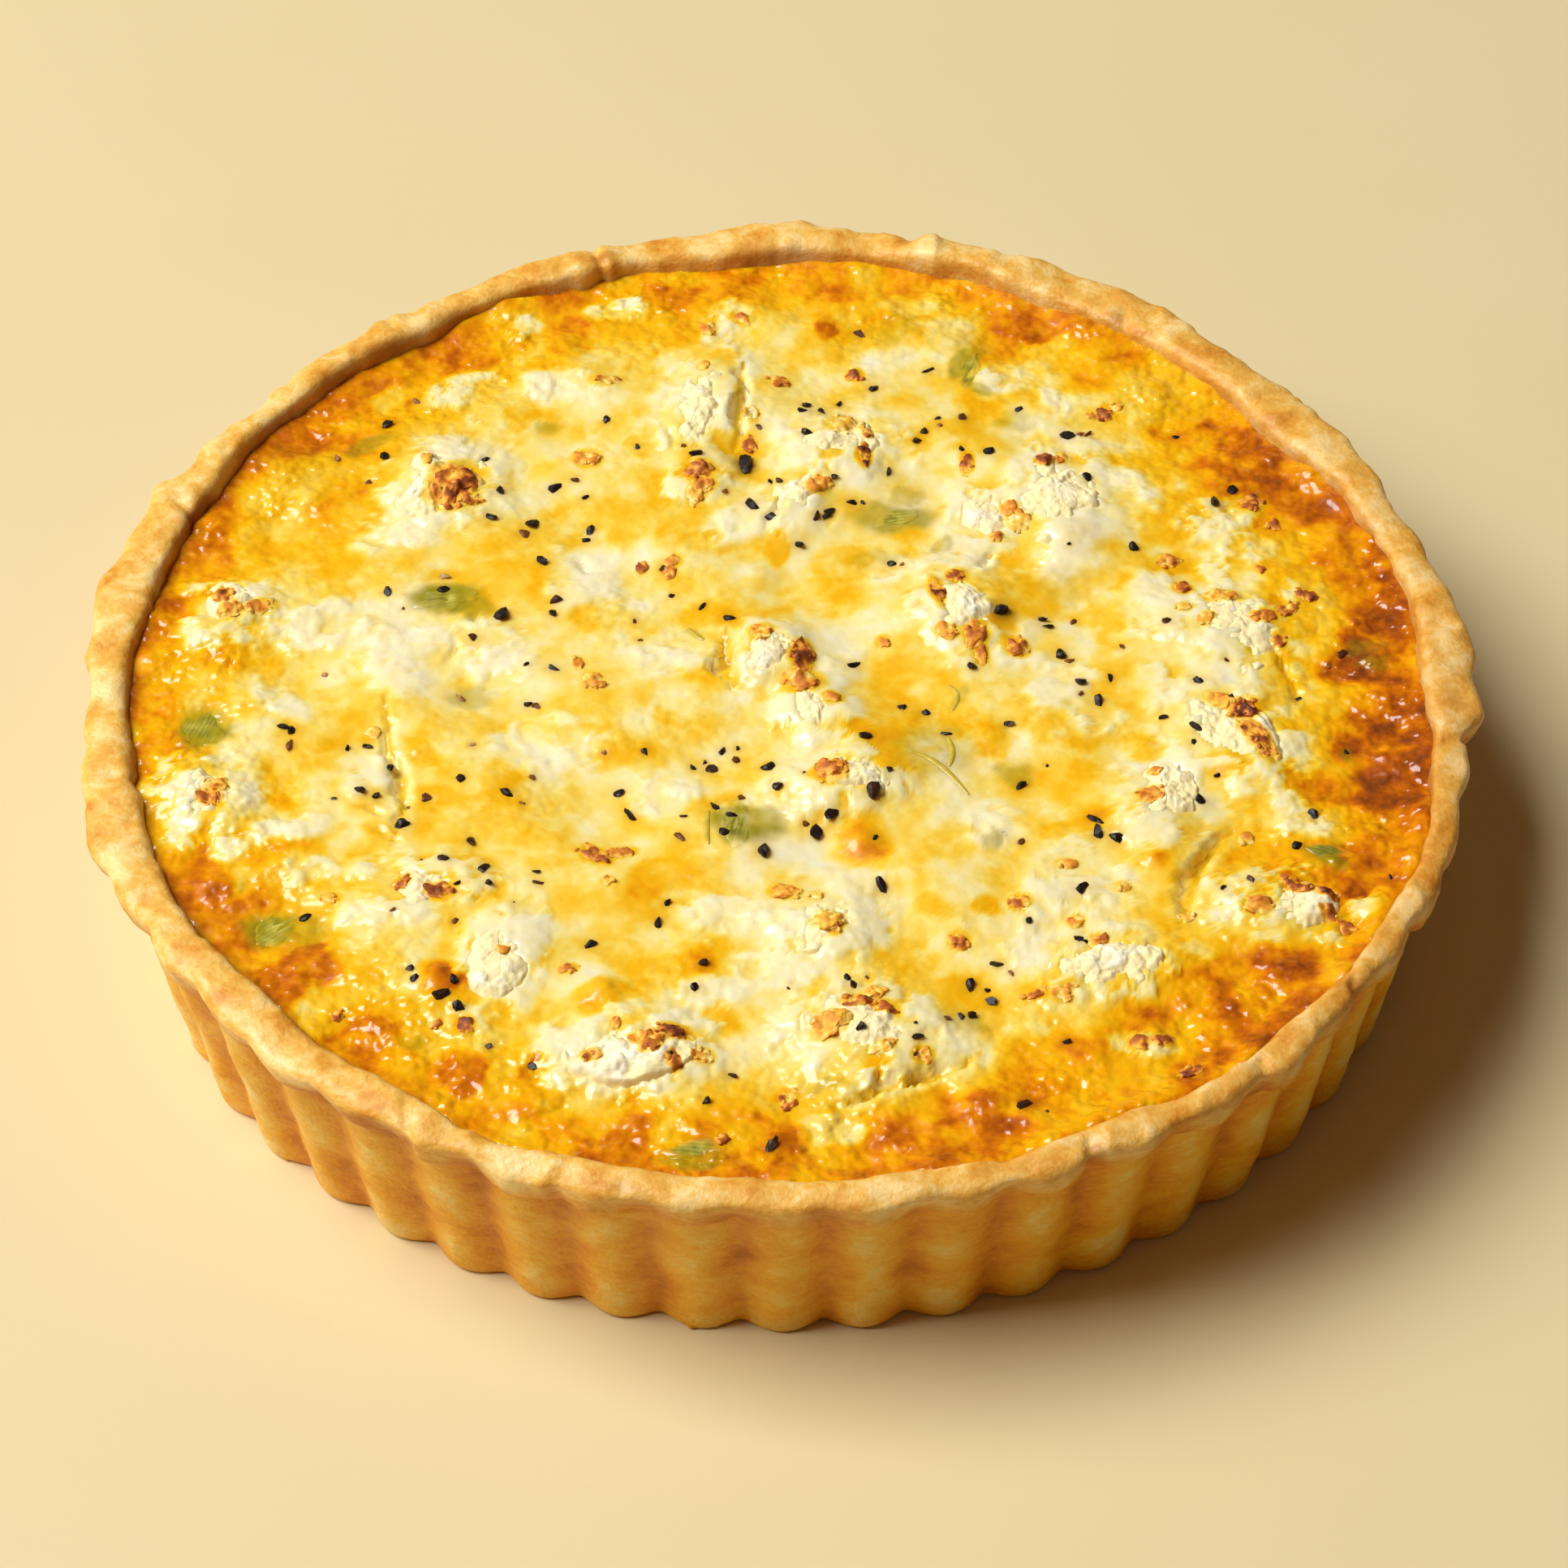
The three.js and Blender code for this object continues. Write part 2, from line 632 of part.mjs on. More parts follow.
function isOffCracks( x, y, margin ) {

	return CRACKS.every( ( crack ) => crack.points.every( ( [ px, py ], i ) => {

		const [ qx, qy ] = crack.points[ Math.min( i + 1, crack.points.length - 1 ) ];
		const segment = new THREE.Line3( new THREE.Vector3( px, py, 0 ), new THREE.Vector3( qx, qy, 0 ) );
		const spot = new THREE.Vector3( x, y, 0 );
		const near = px === qx && py === qy ? segment.start
			: segment.closestPointToPoint( spot, true, new THREE.Vector3() );
		return near.distanceTo( spot ) > margin + crack.wide / 2;

	} ) );

}

// Scatters the grains: most in drifts, the rest anywhere, never on top of each other.
function scatterPepper() {

	const random = randomFrom( 2027 );
	const grains = [];
	while ( grains.length < GRAINS ) {

		const size = mix( GRAIN_SIZES[ 0 ], GRAIN_SIZES[ 1 ], random() ** 1.6 );
		const inDrift = random() < DRIFT_SHARE;
		const drift = PEPPER_DRIFTS[ Math.floor( random() * PEPPER_DRIFTS.length ) ];
		const angle = 360 * random();
		const reach = random();
		const turn = 360 * random();
		const [ dx, dy ] = polar( angle, inDrift ? drift.spread * reach : GRAIN_REACH * Math.sqrt( reach ), 0 );
		const x = dx + ( inDrift ? drift.x : 0 );
		const y = dy + ( inDrift ? drift.y : 0 );
		const apart = grains.every( ( other ) => Math.hypot( x - other.x, y - other.y ) > ( size + other.size ) * 0.75 );
		if ( apart && isClear( x, y, size / 2 + GRAIN_MARGIN ) && isOffCracks( x, y, size / 2 + CRACK_MARGIN ) ) {

			grains.push( { x, y, size, turn } );

		}

	}

	return grains.sort( ( a, b ) => b.size - a.size );

}

// An angular cracked grain, half sunk in the surface at height z.
function pepperGrain( grain, index, z ) {

	const random = randomFrom( 500 + index );
	const geometry = welded( new THREE.IcosahedronGeometry( grain.size / 2, 0 ) );
	const place = geometry.attributes.position;
	for ( let i = 0; i < place.count; i ++ ) {

		const chipped = mix( 0.82, 1.18, random() );
		const [ x, y, z ] = GRAIN_SHAPE.map( ( stretch, axis ) => place.getComponent( i, axis ) * stretch * chipped );
		place.setXYZ( i, x, y, z );

	}

	geometry.rotateZ( radians( grain.turn ) );
	geometry.translate( grain.x, grain.y, z + 0.1 * grain.size );
	return geometry;

}

function eggCustard() {

	const body = custardBody();
	const target = new THREE.Mesh( body, new THREE.MeshBasicMaterial() );
	const down = new THREE.Vector3( 0, 0, - 1 );
	const heightAt = ( x, y ) =>
		new THREE.Raycaster( new THREE.Vector3( x, y, 2 * HEIGHT ), down ).intersectObject( target )[ 0 ].point.z;

	let solid = toSolid( body );
	for ( const [ index, chunk ] of CHEESE.entries() ) solid = solid.subtract( toSolid( cheesePocket( chunk, index ) ) );
	for ( const slice of LEEK ) solid = solid.subtract( toSolid( leekPocket( slice ) ) );
	for ( const crack of CRACKS ) solid = solid.subtract( toSolid( crackWedge( crack ) ) );
	for ( const [ index, grain ] of scatterPepper().slice( 0, FUSED_GRAINS ).entries() ) {

		solid = solid.add( toSolid( pepperGrain( grain, index, heightAt( grain.x, grain.y ) ) ) );

	}

	return toGeometry( solid );

}

// ---------------------------------------------------------------- the quiche

function piece( name, geometry, color, roughness ) {

	const material = new THREE.MeshStandardMaterial( { color, roughness, metalness: 0 } );
	const mesh = new THREE.Mesh( geometry, material );
	mesh.name = name;
	return mesh;

}

const numbered = ( stem, index ) => `${ stem }_${ String( index + 1 ).padStart( 2, '0' ) }`;

const quiche = new THREE.Group();
quiche.add( piece( 'pastry_case', pastryCase(), COLOURS.pastry, 0.6 ) );
quiche.add( piece( 'egg_custard', eggCustard(), COLOURS.custard, 0.35 ) );
for ( const [ index, chunk ] of CHEESE.entries() ) {

	quiche.add( piece( numbered( 'goat_cheese', index ), cheeseChunk( chunk, index ), COLOURS.cheese, 0.75 ) );

}

for ( const [ index, slice ] of LEEK.entries() ) {

	quiche.add( piece( numbered( 'leek', index ), leekSlice( slice ), COLOURS.leek, 0.45 ) );

}

export default quiche;
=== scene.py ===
"""Dresses the quiche: fluted shortcrust case, browned egg custard, goat cheese, leek and pepper.

Shapes are worked out in millimetres in the part's own frame and put into the meshes in metres.
Angles are in degrees, anticlockwise from +X as seen from above.
"""

import logging
import math
from dataclasses import dataclass, field
from enum import Enum

import bpy
import numpy as np
from mathutils import Matrix

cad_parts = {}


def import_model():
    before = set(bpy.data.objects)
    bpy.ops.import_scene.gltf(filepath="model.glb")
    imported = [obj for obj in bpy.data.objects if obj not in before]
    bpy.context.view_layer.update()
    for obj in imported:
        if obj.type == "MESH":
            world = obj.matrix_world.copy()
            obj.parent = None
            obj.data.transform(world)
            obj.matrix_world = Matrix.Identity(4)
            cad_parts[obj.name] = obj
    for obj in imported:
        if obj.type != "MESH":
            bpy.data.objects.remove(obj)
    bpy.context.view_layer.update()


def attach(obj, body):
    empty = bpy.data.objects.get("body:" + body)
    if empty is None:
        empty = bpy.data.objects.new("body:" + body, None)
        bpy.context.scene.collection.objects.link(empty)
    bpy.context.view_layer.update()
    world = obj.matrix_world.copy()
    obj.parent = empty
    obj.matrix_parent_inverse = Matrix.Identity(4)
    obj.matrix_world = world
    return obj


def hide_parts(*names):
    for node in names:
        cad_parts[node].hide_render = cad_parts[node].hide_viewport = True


Array = np.ndarray
Socket = bpy.types.NodeSocket
Material = bpy.types.Material
Object = bpy.types.Object

LOG = logging.getLogger("quiche")
MM = 0.001


class Slot(Enum):
    """Names of material slots for the pieces; nothing in the script uses them."""

    SHORTCRUST = "shortcrust"
    EGG_CUSTARD = "egg_custard"
    GOAT_CHEESE = "goat_cheese"
    LEEK = "leek"


# -------------------------------- numbers and noise


def mix(low: Array | float, high: Array | float, share: Array | float) -> Array:
    """Value between low and high: low where share is 0, high where it is 1."""
    return low + (high - low) * share


def ease(start: float, end: float, value: Array) -> Array:
    """Smooth step: 0 up to start, 1 from end on, with no corner between; end may be below start."""
    t = np.clip((value - start) / (end - start), 0.0, 1.0)
    return t * t * (3.0 - 2.0 * t)


def turn_from(degrees: Array, centre: float) -> Array:
    """Signed angle from centre to degrees, from -180 to 180."""
    return (degrees - centre + 180.0) % 360.0 - 180.0


def ripples(degrees: Array, waves: tuple) -> Array:
    """Sum of sine waves round the case, each a height in mm, a number of waves and a phase in degrees."""
    a = np.radians(degrees)
    return sum(rise * np.sin(count * a + math.radians(phase)) for rise, count, phase in waves)


def bell(value: Array, spread: float) -> Array:
    """Bell curve: 1 at 0, 0.37 at spread."""
    return np.exp(-((value / spread) ** 2))


def cell_value(cells: Array, seed: int) -> Array:
    """Repeatable random value from 0 to 1 for each whole-numbered cell.

    Args:
        cells: Cell numbers, the last axis holding x, y and z.
        seed: Picks one of many independent patterns.

    Returns:
        One value for each cell.
    """
    whole = cells.astype(np.int64).astype(np.uint32)
    with np.errstate(over="ignore"):
        mixed = whole[..., 0] * np.uint32(374761393) + whole[..., 1] * np.uint32(668265263)
        mixed = mixed + whole[..., 2] * np.uint32(2246822519) + np.uint32(seed * 3266489917 % 2**32)
        mixed = (mixed ^ (mixed >> np.uint32(15))) * np.uint32(2246822519)
        mixed = (mixed ^ (mixed >> np.uint32(13))) * np.uint32(3266489917)
        mixed = mixed ^ (mixed >> np.uint32(16))
    return mixed / 2.0**32


def soft_noise(points: Array, size: float, seed: int) -> Array:
    """Smooth random field: values at the corners of cubes of the given size, blended between them.

    Args:
        points: Places in mm, the last axis holding x, y and z.
        size: Side of a cube in mm, about the width of one bump.
        seed: Picks the pattern.

    Returns:
        Values from -1 to 1.
    """
    scaled = points / size
    base = np.floor(scaled)
    part = scaled - base
    part = part * part * (3.0 - 2.0 * part)
    total = np.zeros(points.shape[:-1])
    for corner in np.ndindex(2, 2, 2):
        step = np.array(corner)
        weight = np.prod(np.where(step == 1, part, 1.0 - part), axis=-1)
        total += weight * cell_value(base + step, seed)
    return total * 2.0 - 1.0


def rough_noise(points: Array, size: float, seed: int, octaves: int = 3, gain: float = 0.5) -> Array:
    """Soft noise with finer layers added, each half as wide and gain times as strong as the last.

    Args:
        points: Places in mm, the last axis holding x, y and z.
        size: Width of the coarsest bumps in mm.
        seed: Picks the pattern.
        octaves: Number of layers.
        gain: Strength of a layer against the one before.

    Returns:
        Values from about -1 to 1.
    """
    total = np.zeros(points.shape[:-1])
    strength, full = 1.0, 0.0
    for layer in range(octaves):
        total += strength * soft_noise(points, size / 2.0**layer, seed + 101 * layer)
        full += strength
        strength *= gain
    return total / full * 1.4


def nearest_seed(flat: Array, size: float, seed: int) -> tuple[Array, Array]:
    """Cell pattern: distance from each place to the nearest of the points scattered one to a square.

    Args:
        flat: Places in mm, the last axis holding x and y.
        size: Side of a square in mm.
        seed: Picks the pattern.

    Returns:
        The distance as a share of size, and a random value of the nearest cell.
    """
    scaled = flat / size
    base = np.floor(scaled)
    best = np.full(flat.shape[:-1], 9.0)
    label = np.zeros(flat.shape[:-1])
    for step in np.ndindex(3, 3):
        cell = base + np.array(step) - 1.0
        cube = np.concatenate([cell, np.zeros_like(cell[..., :1])], axis=-1)
        jitter = np.stack([cell_value(cube, seed), cell_value(cube, seed + 1)], axis=-1)
        gap = np.linalg.norm(cell + jitter - scaled, axis=-1)
        nearer = gap < best
        best = np.where(nearer, gap, best)
        label = np.where(nearer, cell_value(cube, seed + 2), label)
    return best, label


def wander(points: Array, size: float, seeds: tuple[int, int], octaves: int = 3,
           gain: float = 0.5) -> Array:
    """Rough noise for x and for y, on the last axis: it makes a clean outline ragged."""
    return np.stack([rough_noise(points, size, seed, octaves, gain) for seed in seeds], -1)


def spatial(x: Array, y: Array, z: Array | float = 0.0) -> Array:
    """Places with x, y and z on the last axis."""
    return np.stack(np.broadcast_arrays(x, y, z), axis=-1).astype(float)


def polar(radius: Array, degrees: Array | float, z: Array | float = 0.0) -> Array:
    """Places with x, y and z on the last axis, from a radius and an angle."""
    turn = np.radians(degrees)
    return spatial(radius * np.cos(turn), radius * np.sin(turn), z)


# -------------------------------- meshes


def grid_faces(rows: int, columns: int, ring: bool) -> Array:
    """Four-sided faces of a grid of points numbered row by row.

    Args:
        rows: Number of rows of points.
        columns: Number of points in a row.
        ring: True where the last column joins the first.

    Returns:
        Point numbers, four to a face, anticlockwise where rows go up and columns go to the right.
    """
    row = np.arange(rows - 1)[:, None] * columns
    column = np.arange(columns if ring else columns - 1)[None, :]
    after = (column + 1) % columns
    corners = [row + column, row + after, row + columns + after, row + columns + column]
    return np.stack(corners, axis=-1).reshape(-1, 4)


def fan_faces(centre: int, ring: Array, facing_up: bool) -> Array:
    """Triangles from one centre point to an anticlockwise ring of points, facing up or down.

    Args:
        centre: Number of the centre point.
        ring: Numbers of the ring's points.
        facing_up: Whether the triangles face up.

    Returns:
        Point numbers, three to a face.
    """
    after = np.roll(ring, -1)
    first, second = (ring, after) if facing_up else (after, ring)
    return np.stack([np.full(len(ring), centre), first, second], axis=-1)


def grid_border(rows: int, columns: int) -> Array:
    """Numbers of the points round the edge of a grid, anticlockwise from the first."""
    number = np.arange(rows * columns).reshape(rows, columns)
    return np.concatenate([number[0, :-1], number[:-1, -1], number[-1, :0:-1], number[:0:-1, 0]])


def ring_faces(rows: int, columns: int) -> list[Array]:
    """Faces of a stack of rings, closed by a fan at each end.

    Args:
        rows: Number of rings, from the lower end round to the upper one.
        columns: Number of points in a ring.

    Returns:
        The faces. The two end points are numbered after the rings, the lower one first.
    """
    ring = np.arange(columns)
    low = rows * columns
    return [grid_faces(rows, columns, True), fan_faces(low, ring, False),
            fan_faces(low + 1, ring + low - columns, True)]


def outward(points: Array) -> Array:
    """Unit normals of a stack of rings, across the steps along a ring and from ring to ring.

    Args:
        points: Places, one row for each ring.

    Returns:
        One normal for each place.
    """
    along = np.roll(points, -1, axis=1) - np.roll(points, 1, axis=1)
    normal = np.cross(along, np.gradient(points, axis=0))
    return normal / np.maximum(np.linalg.norm(normal, axis=-1, keepdims=True), 1e-9)


@dataclass
class Surface:
    """A mesh in the making: points in mm, faces, and named values for each point."""

    points: Array
    faces: list[Array]
    values: dict[str, Array] = field(default_factory=dict)

    def make(self, name: str, finish: Material, smooth: bool = True) -> Object:
        """Makes the Blender object, with its place in its mesh.

        Args:
            name: Name of the piece.
            finish: Its material.
            smooth: False for facets that stay flat.

        Returns:
            The object, linked to the scene.
        """
        mesh = bpy.data.meshes.new(name)
        corners = np.concatenate([part.ravel() for part in self.faces])
        sides = np.concatenate([np.full(len(part), part.shape[1]) for part in self.faces])
        mesh.vertices.add(len(self.points))
        mesh.vertices.foreach_set("co", (self.points * MM).astype(np.float32).ravel())
        mesh.loops.add(len(corners))
        mesh.loops.foreach_set("vertex_index", corners.astype(np.int32))
        mesh.polygons.add(len(sides))
        mesh.polygons.foreach_set("loop_start", (np.cumsum(sides) - sides).astype(np.int32))
        mesh.polygons.foreach_set("use_smooth", np.full(len(sides), smooth))
        for label, value in self.values.items():
            layer = mesh.attributes.new(label, "FLOAT", "POINT")
            layer.data.foreach_set("value", np.asarray(value, np.float32).ravel())
        mesh.update(calc_edges=True)
        mesh.validate()
        mesh.materials.append(finish)
        piece = bpy.data.objects.new(name, mesh)
        bpy.context.scene.collection.objects.link(piece)
        LOG.info("%s: %d points, %d triangles", name, len(self.points), int((sides - 2).sum()))
        return piece


def joined(parts: list[Surface]) -> Surface:
    """One surface of several that have the same named values.

    Args:
        parts: The surfaces.

    Returns:
        One surface with their points in that order.
    """
    offsets = np.cumsum([0] + [len(part.points) for part in parts[:-1]])
    faces = [face + offset for part, offset in zip(parts, offsets) for face in part.faces]
    values = {label: np.concatenate([part.values[label] for part in parts]) for label in parts[0].values}
    return Surface(np.concatenate([part.points for part in parts]), faces, values)


def sphere(cuts: int) -> Surface:
    """Unit ball of triangles: an icosahedron whose faces are cut in four, cuts times over.

    Each cut puts a point in the middle of every edge and pushes it out to the unit sphere.

    Args:
        cuts: Number of times that the faces are cut.

    Returns:
        The ball, with 20 faces times 4 for each cut.
    """
    gold = (1.0 + math.sqrt(5.0)) / 2.0
    signs = np.array([(a, b) for a in (-1, 1) for b in (-gold, gold)])
    blank = np.zeros(4)
    points = np.concatenate([
        np.stack([blank, signs[:, 0], signs[:, 1]], -1),
        np.stack([signs[:, 0], signs[:, 1], blank], -1),
        np.stack([signs[:, 1], blank, signs[:, 0]], -1),
    ])
    gaps = np.linalg.norm(points[:, None] - points[None], axis=-1)
    near = (gaps > 0.1) & (gaps < 2.1)
    found = [(a, b, c) for a in range(12) for b in range(a + 1, 12) for c in range(b + 1, 12)
             if near[a, b] and near[b, c] and near[a, c]]
    faces = np.array(found)
    side = np.cross(points[faces[:, 1]] - points[faces[:, 0]], points[faces[:, 2]] - points[faces[:, 0]])
    inward = (side * points[faces[:, 0]]).sum(-1) < 0.0
    faces[inward] = faces[inward][:, ::-1]
    for _ in range(cuts):
        pairs = np.sort(np.concatenate([faces[:, [0, 1]], faces[:, [1, 2]], faces[:, [2, 0]]]), axis=1)
        edges, where = np.unique(pairs, axis=0, return_inverse=True)
        middle = where.reshape(3, -1) + len(points)
        points = np.concatenate([points, points[edges].mean(1)])
        a, b, c = faces.T
        ab, bc, ca = middle
        quarters = ((a, ab, ca), (ab, b, bc), (ca, bc, c), (ab, bc, ca))
        faces = np.concatenate([np.stack(corners, -1) for corners in quarters])
    points = points / np.linalg.norm(points, axis=-1, keepdims=True)
    return Surface(points, [faces])


# -------------------------------- finishes


def colour(code: str) -> tuple[float, float, float, float]:
    """Linear colour of an sRGB hex code, by the two-part sRGB curve.

    Args:
        code: Six hex digits.

    Returns:
        Red, green, blue and a full alpha.
    """
    parts = [int(code[i:i + 2], 16) / 255.0 for i in (0, 2, 4)]
    linear = [p / 12.92 if p <= 0.04045 else ((p + 0.055) / 1.055) ** 2.4 for p in parts]
    return (*linear, 1.0)


def per_mm(width: float) -> float:
    """Texture scale for a pattern whose features are width mm across, on coordinates in metres."""
    return 1.0 / (width * MM)


def add(tree: bpy.types.NodeTree, kind: str, inputs: dict | None = None, give: str | int = 0,
        **settings: object) -> Socket | None:
    """Adds one node with its settings and links.

    Args:
        tree: Tree that gets the node.
        kind: Blender's name for the node, without its first word.
        inputs: By the input's name or number, another node's output, a number, or an sRGB hex code.
        give: Name or number of the output to give back.
        **settings: The node's own settings, and stops: a ramp's places, each with a hex code.

    Returns:
        The output, or None for a node that has none.
    """
    node = tree.nodes.new("ShaderNode" + kind)
    stops = settings.pop("stops", ())
    for key, value in settings.items():
        setattr(node, key, value)
    for _ in stops[2:]:
        node.color_ramp.elements.new(0.5)
    for index, (place, code) in enumerate(stops):
        stop = node.color_ramp.elements[index]
        stop.position, stop.color = place, colour(code)
    for key, value in (inputs or {}).items():
        if isinstance(value, Socket):
            tree.links.new(value, node.inputs[key])
        else:
            node.inputs[key].default_value = colour(value) if isinstance(value, str) else value
    return node.outputs[give] if node.outputs else None


def new_tree(owner: Material | bpy.types.World) -> bpy.types.NodeTree:
    """The node tree of a material or world, emptied.

    Args:
        owner: The material or world.

    Returns:
        Its tree.
    """
    owner.use_nodes = True
    owner.node_tree.nodes.clear()
    return owner.node_tree


# Colours by tone, each a place from 0 to 1 and its colour: pastry wall, pastry rim, custard from cream to
# burnt, cheese from white to burnt, cooked leek, cracked pepper from shell to broken face.
WALL = ((0.1, "FCD672"), (0.3, "FABE32"), (0.5, "F4AA06"), (0.72, "E69200"), (1.0, "C06E00"))
RIM = ((0.1, "FFD98C"), (0.3, "F4BC56"), (0.5, "E49C34"), (0.68, "CC7A20"), (0.9, "A85612"))
BAKED = ((0.0, "FFF0D0"), (0.1, "FFE8A2"), (0.2, "FFDC6E"), (0.3, "FECD40"), (0.42, "FABC10"),
         (0.55, "F6AD00"), (0.66, "EC9700"), (0.78, "D37300"), (0.9, "AC5208"), (1.0, "844012"))
TOASTED = ((0.0, "FFF6CE"), (0.2, "FFDE78"), (0.38, "FBBE40"), (0.56, "E8922A"), (0.76, "B8601E"),
           (1.0, "5A2410"))
LEAF = ((0.25, "D6C65A"), (0.45, "AEA238"), (0.62, "8A8428"), (0.8, "64661E"))
PEPPER = ((0.0, "140D08"), (0.3, "2A1A10"), (0.55, "5A3014"), (0.8, "94561E"), (1.0, "C49A62"))
# Leek seen through the custard's skin, also laid along the cracks as painted shade; the burnt edges of
# pastry, also its painted shade on the rim; and burnt custard round pepper.
LEAFY = "9E9014"
DARK_CRUST = "9A4E0A"
CHARRED = "4A2006"


@dataclass(frozen=True)
class ShortcrustFinish:
    """Baked shortcrust pastry, rolled out and pressed into a fluted tin.

    Butter and egg in the dough darken where it is thin and hot, so the flutes are golden with
    pale floury streaks, and the rolled rim is a paler, pinkish tan with a satin sheen.
    """

    roughness: float = 0.42
    patch_width: float = 8.0
    streak_width: float = 2.2
    streak_squash: float = 2.4
    grain_width: float = 0.8
    rim_smoothness: float = 0.5

    def make(self) -> Material:
        """Builds the material from the attributes rim, brown_and_shade (browning with painted shade) and
        painted_valley_shade.
        """
        material = bpy.data.materials.new("baked_shortcrust")
        tree = new_tree(material)
        place = add(tree, "TexCoord", give="Object")
        rim, brown_and_shade, painted_valley_shade = (add(tree, "Attribute", give="Fac", attribute_name=label)
                              for label in ("rim", "brown_and_shade", "painted_valley_shade"))
        patches = add(tree, "TexNoise", {"Vector": place, "Scale": per_mm(self.patch_width), "Detail": 3.0})
        flat = add(tree, "Mapping", {"Vector": place, "Scale": (1.0, 1.0, self.streak_squash)})
        streaks = add(tree, "TexNoise", {"Vector": flat, "Scale": per_mm(self.streak_width), "Detail": 3.0,
                                         "Distortion": 0.6})
        grain = add(tree, "TexNoise", {"Vector": place, "Scale": per_mm(self.grain_width), "Detail": 3.0})
        tone = add(tree, "Math", {0: patches, 1: 1.2, 2: -0.17}, operation="MULTIPLY_ADD")
        # Painted shade: darker in the flute valleys and in a band under the rim.
        tone = add(tree, "Math", {0: painted_valley_shade, 1: 0.42, 2: tone}, operation="MULTIPLY_ADD")
        tone = add(tree, "Math", {0: streaks, 1: -0.5, 2: tone}, operation="MULTIPLY_ADD")
        tone = add(tree, "Math", {0: grain, 1: 0.25, 2: tone}, operation="MULTIPLY_ADD", use_clamp=True)
        wall = add(tree, "ValToRGB", {"Fac": tone}, stops=WALL)
        top = add(tree, "ValToRGB", {"Fac": tone}, stops=RIM)
        body = add(tree, "Mix", {0: rim, 6: wall, 7: top}, 2, data_type="RGBA")
        # Browning and painted shade together pull the colour towards dark crust.
        baked = add(tree, "Mix", {0: brown_and_shade, 6: body, 7: DARK_CRUST}, 2, data_type="RGBA")
        rough = add(tree, "Math", {0: streaks, 1: 0.8, 2: grain}, operation="MULTIPLY_ADD")
        share = add(tree, "MapRange", {"Value": rim, "To Min": 1.0, "To Max": self.rim_smoothness})
        height = add(tree, "Math", {0: rough, 1: share}, operation="MULTIPLY")
        bump = add(tree, "Bump", {"Height": height, "Strength": 0.6, "Distance": 0.5 * MM})
        gloss = add(tree, "MapRange", {"Value": patches, "From Min": 0.3, "From Max": 0.7,
                                       "To Min": self.roughness - 0.1, "To Max": self.roughness + 0.1})
        shader = add(tree, "BsdfPrincipled", {
            "Base Color": baked, "Roughness": gloss, "Normal": bump, "IOR": 1.45, "Specular IOR Level": 0.42,
            "Subsurface Weight": 0.12, "Subsurface Radius": (1.0, 0.55, 0.2), "Subsurface Scale": 1.5 * MM})
        add(tree, "OutputMaterial", {"Surface": shader})
        return material


@dataclass(frozen=True)
class CustardFinish:
    """Set egg custard, browned under a hot grill.

    The inside is cream yellow and lets light in a little; the skin turns gold, then a browned orange where
    it is thin and dry, and it stays wet and glossy with butter, most of all towards the edge.
    """

    light_depth: float = 2.6
    curd_width: float = 3.2
    freckle_width: float = 1.1
    drop_width: float = 2.2
    bubble_width: float = 1.9

    def make(self) -> Material:
        """Builds the material from the attributes bake, green, wet and dark."""
        material = bpy.data.materials.new("baked_egg_custard")
        tree = new_tree(material)
        place = add(tree, "TexCoord", give="Object")
        bake, green, wet, dark = (add(tree, "Attribute", give="Fac", attribute_name=label)
                                  for label in ("bake", "green", "wet", "dark"))
        curds, freckles, drops = (
            add(tree, "TexNoise", {"Vector": place, "Scale": per_mm(width), "Detail": 1.0})
            for width in (self.curd_width, self.freckle_width, self.drop_width))
        bubbles = add(tree, "TexVoronoi", {"Vector": place, "Scale": per_mm(self.bubble_width),
                                           "Smoothness": 0.5}, feature="SMOOTH_F1")
        both = add(tree, "Math", {0: freckles, 1: 0.45, 2: curds}, operation="MULTIPLY_ADD")
        centred = add(tree, "Math", {0: both, 1: 0.725}, operation="SUBTRACT")
        contrast = add(tree, "Math", {0: bake, 1: 0.42, 2: 0.09}, operation="MULTIPLY_ADD")
        tone = add(tree, "Math", {0: centred, 1: contrast, 2: bake}, operation="MULTIPLY_ADD",
                   use_clamp=True)
        skin = add(tree, "ValToRGB", {"Fac": tone}, stops=BAKED)
        leafy = add(tree, "Mix", {0: green, 6: skin, 7: LEAFY}, 2, data_type="RGBA")
        charred = add(tree, "Mix", {0: dark, 6: leafy, 7: CHARRED}, 2, data_type="RGBA")
        pebbles = add(tree, "Math", {0: bubbles, 1: -0.7, 2: drops}, operation="MULTIPLY_ADD")
        lift = add(tree, "MapRange", {"Value": wet, "From Min": 0.2, "To Min": 0.14, "To Max": 1.0})
        height = add(tree, "Math", {0: pebbles, 1: lift}, operation="MULTIPLY")
        bump = add(tree, "Bump", {"Height": height, "Strength": 1.0, "Distance": 0.85 * MM})
        dull = add(tree, "MapRange", {"Value": wet, "To Min": 0.4, "To Max": 0.2})
        shader = add(tree, "BsdfPrincipled", {
            "Base Color": charred, "Roughness": dull, "Normal": bump, "IOR": 1.4, "Subsurface Weight": 0.45,
            "Subsurface Radius": (1.0, 0.7, 0.3), "Subsurface Scale": self.light_depth * MM,
            "Coat Normal": bump, "Coat Weight": 0.5, "Coat Roughness": 0.08, "Coat IOR": 1.5})
        add(tree, "OutputMaterial", {"Surface": shader})
        return material


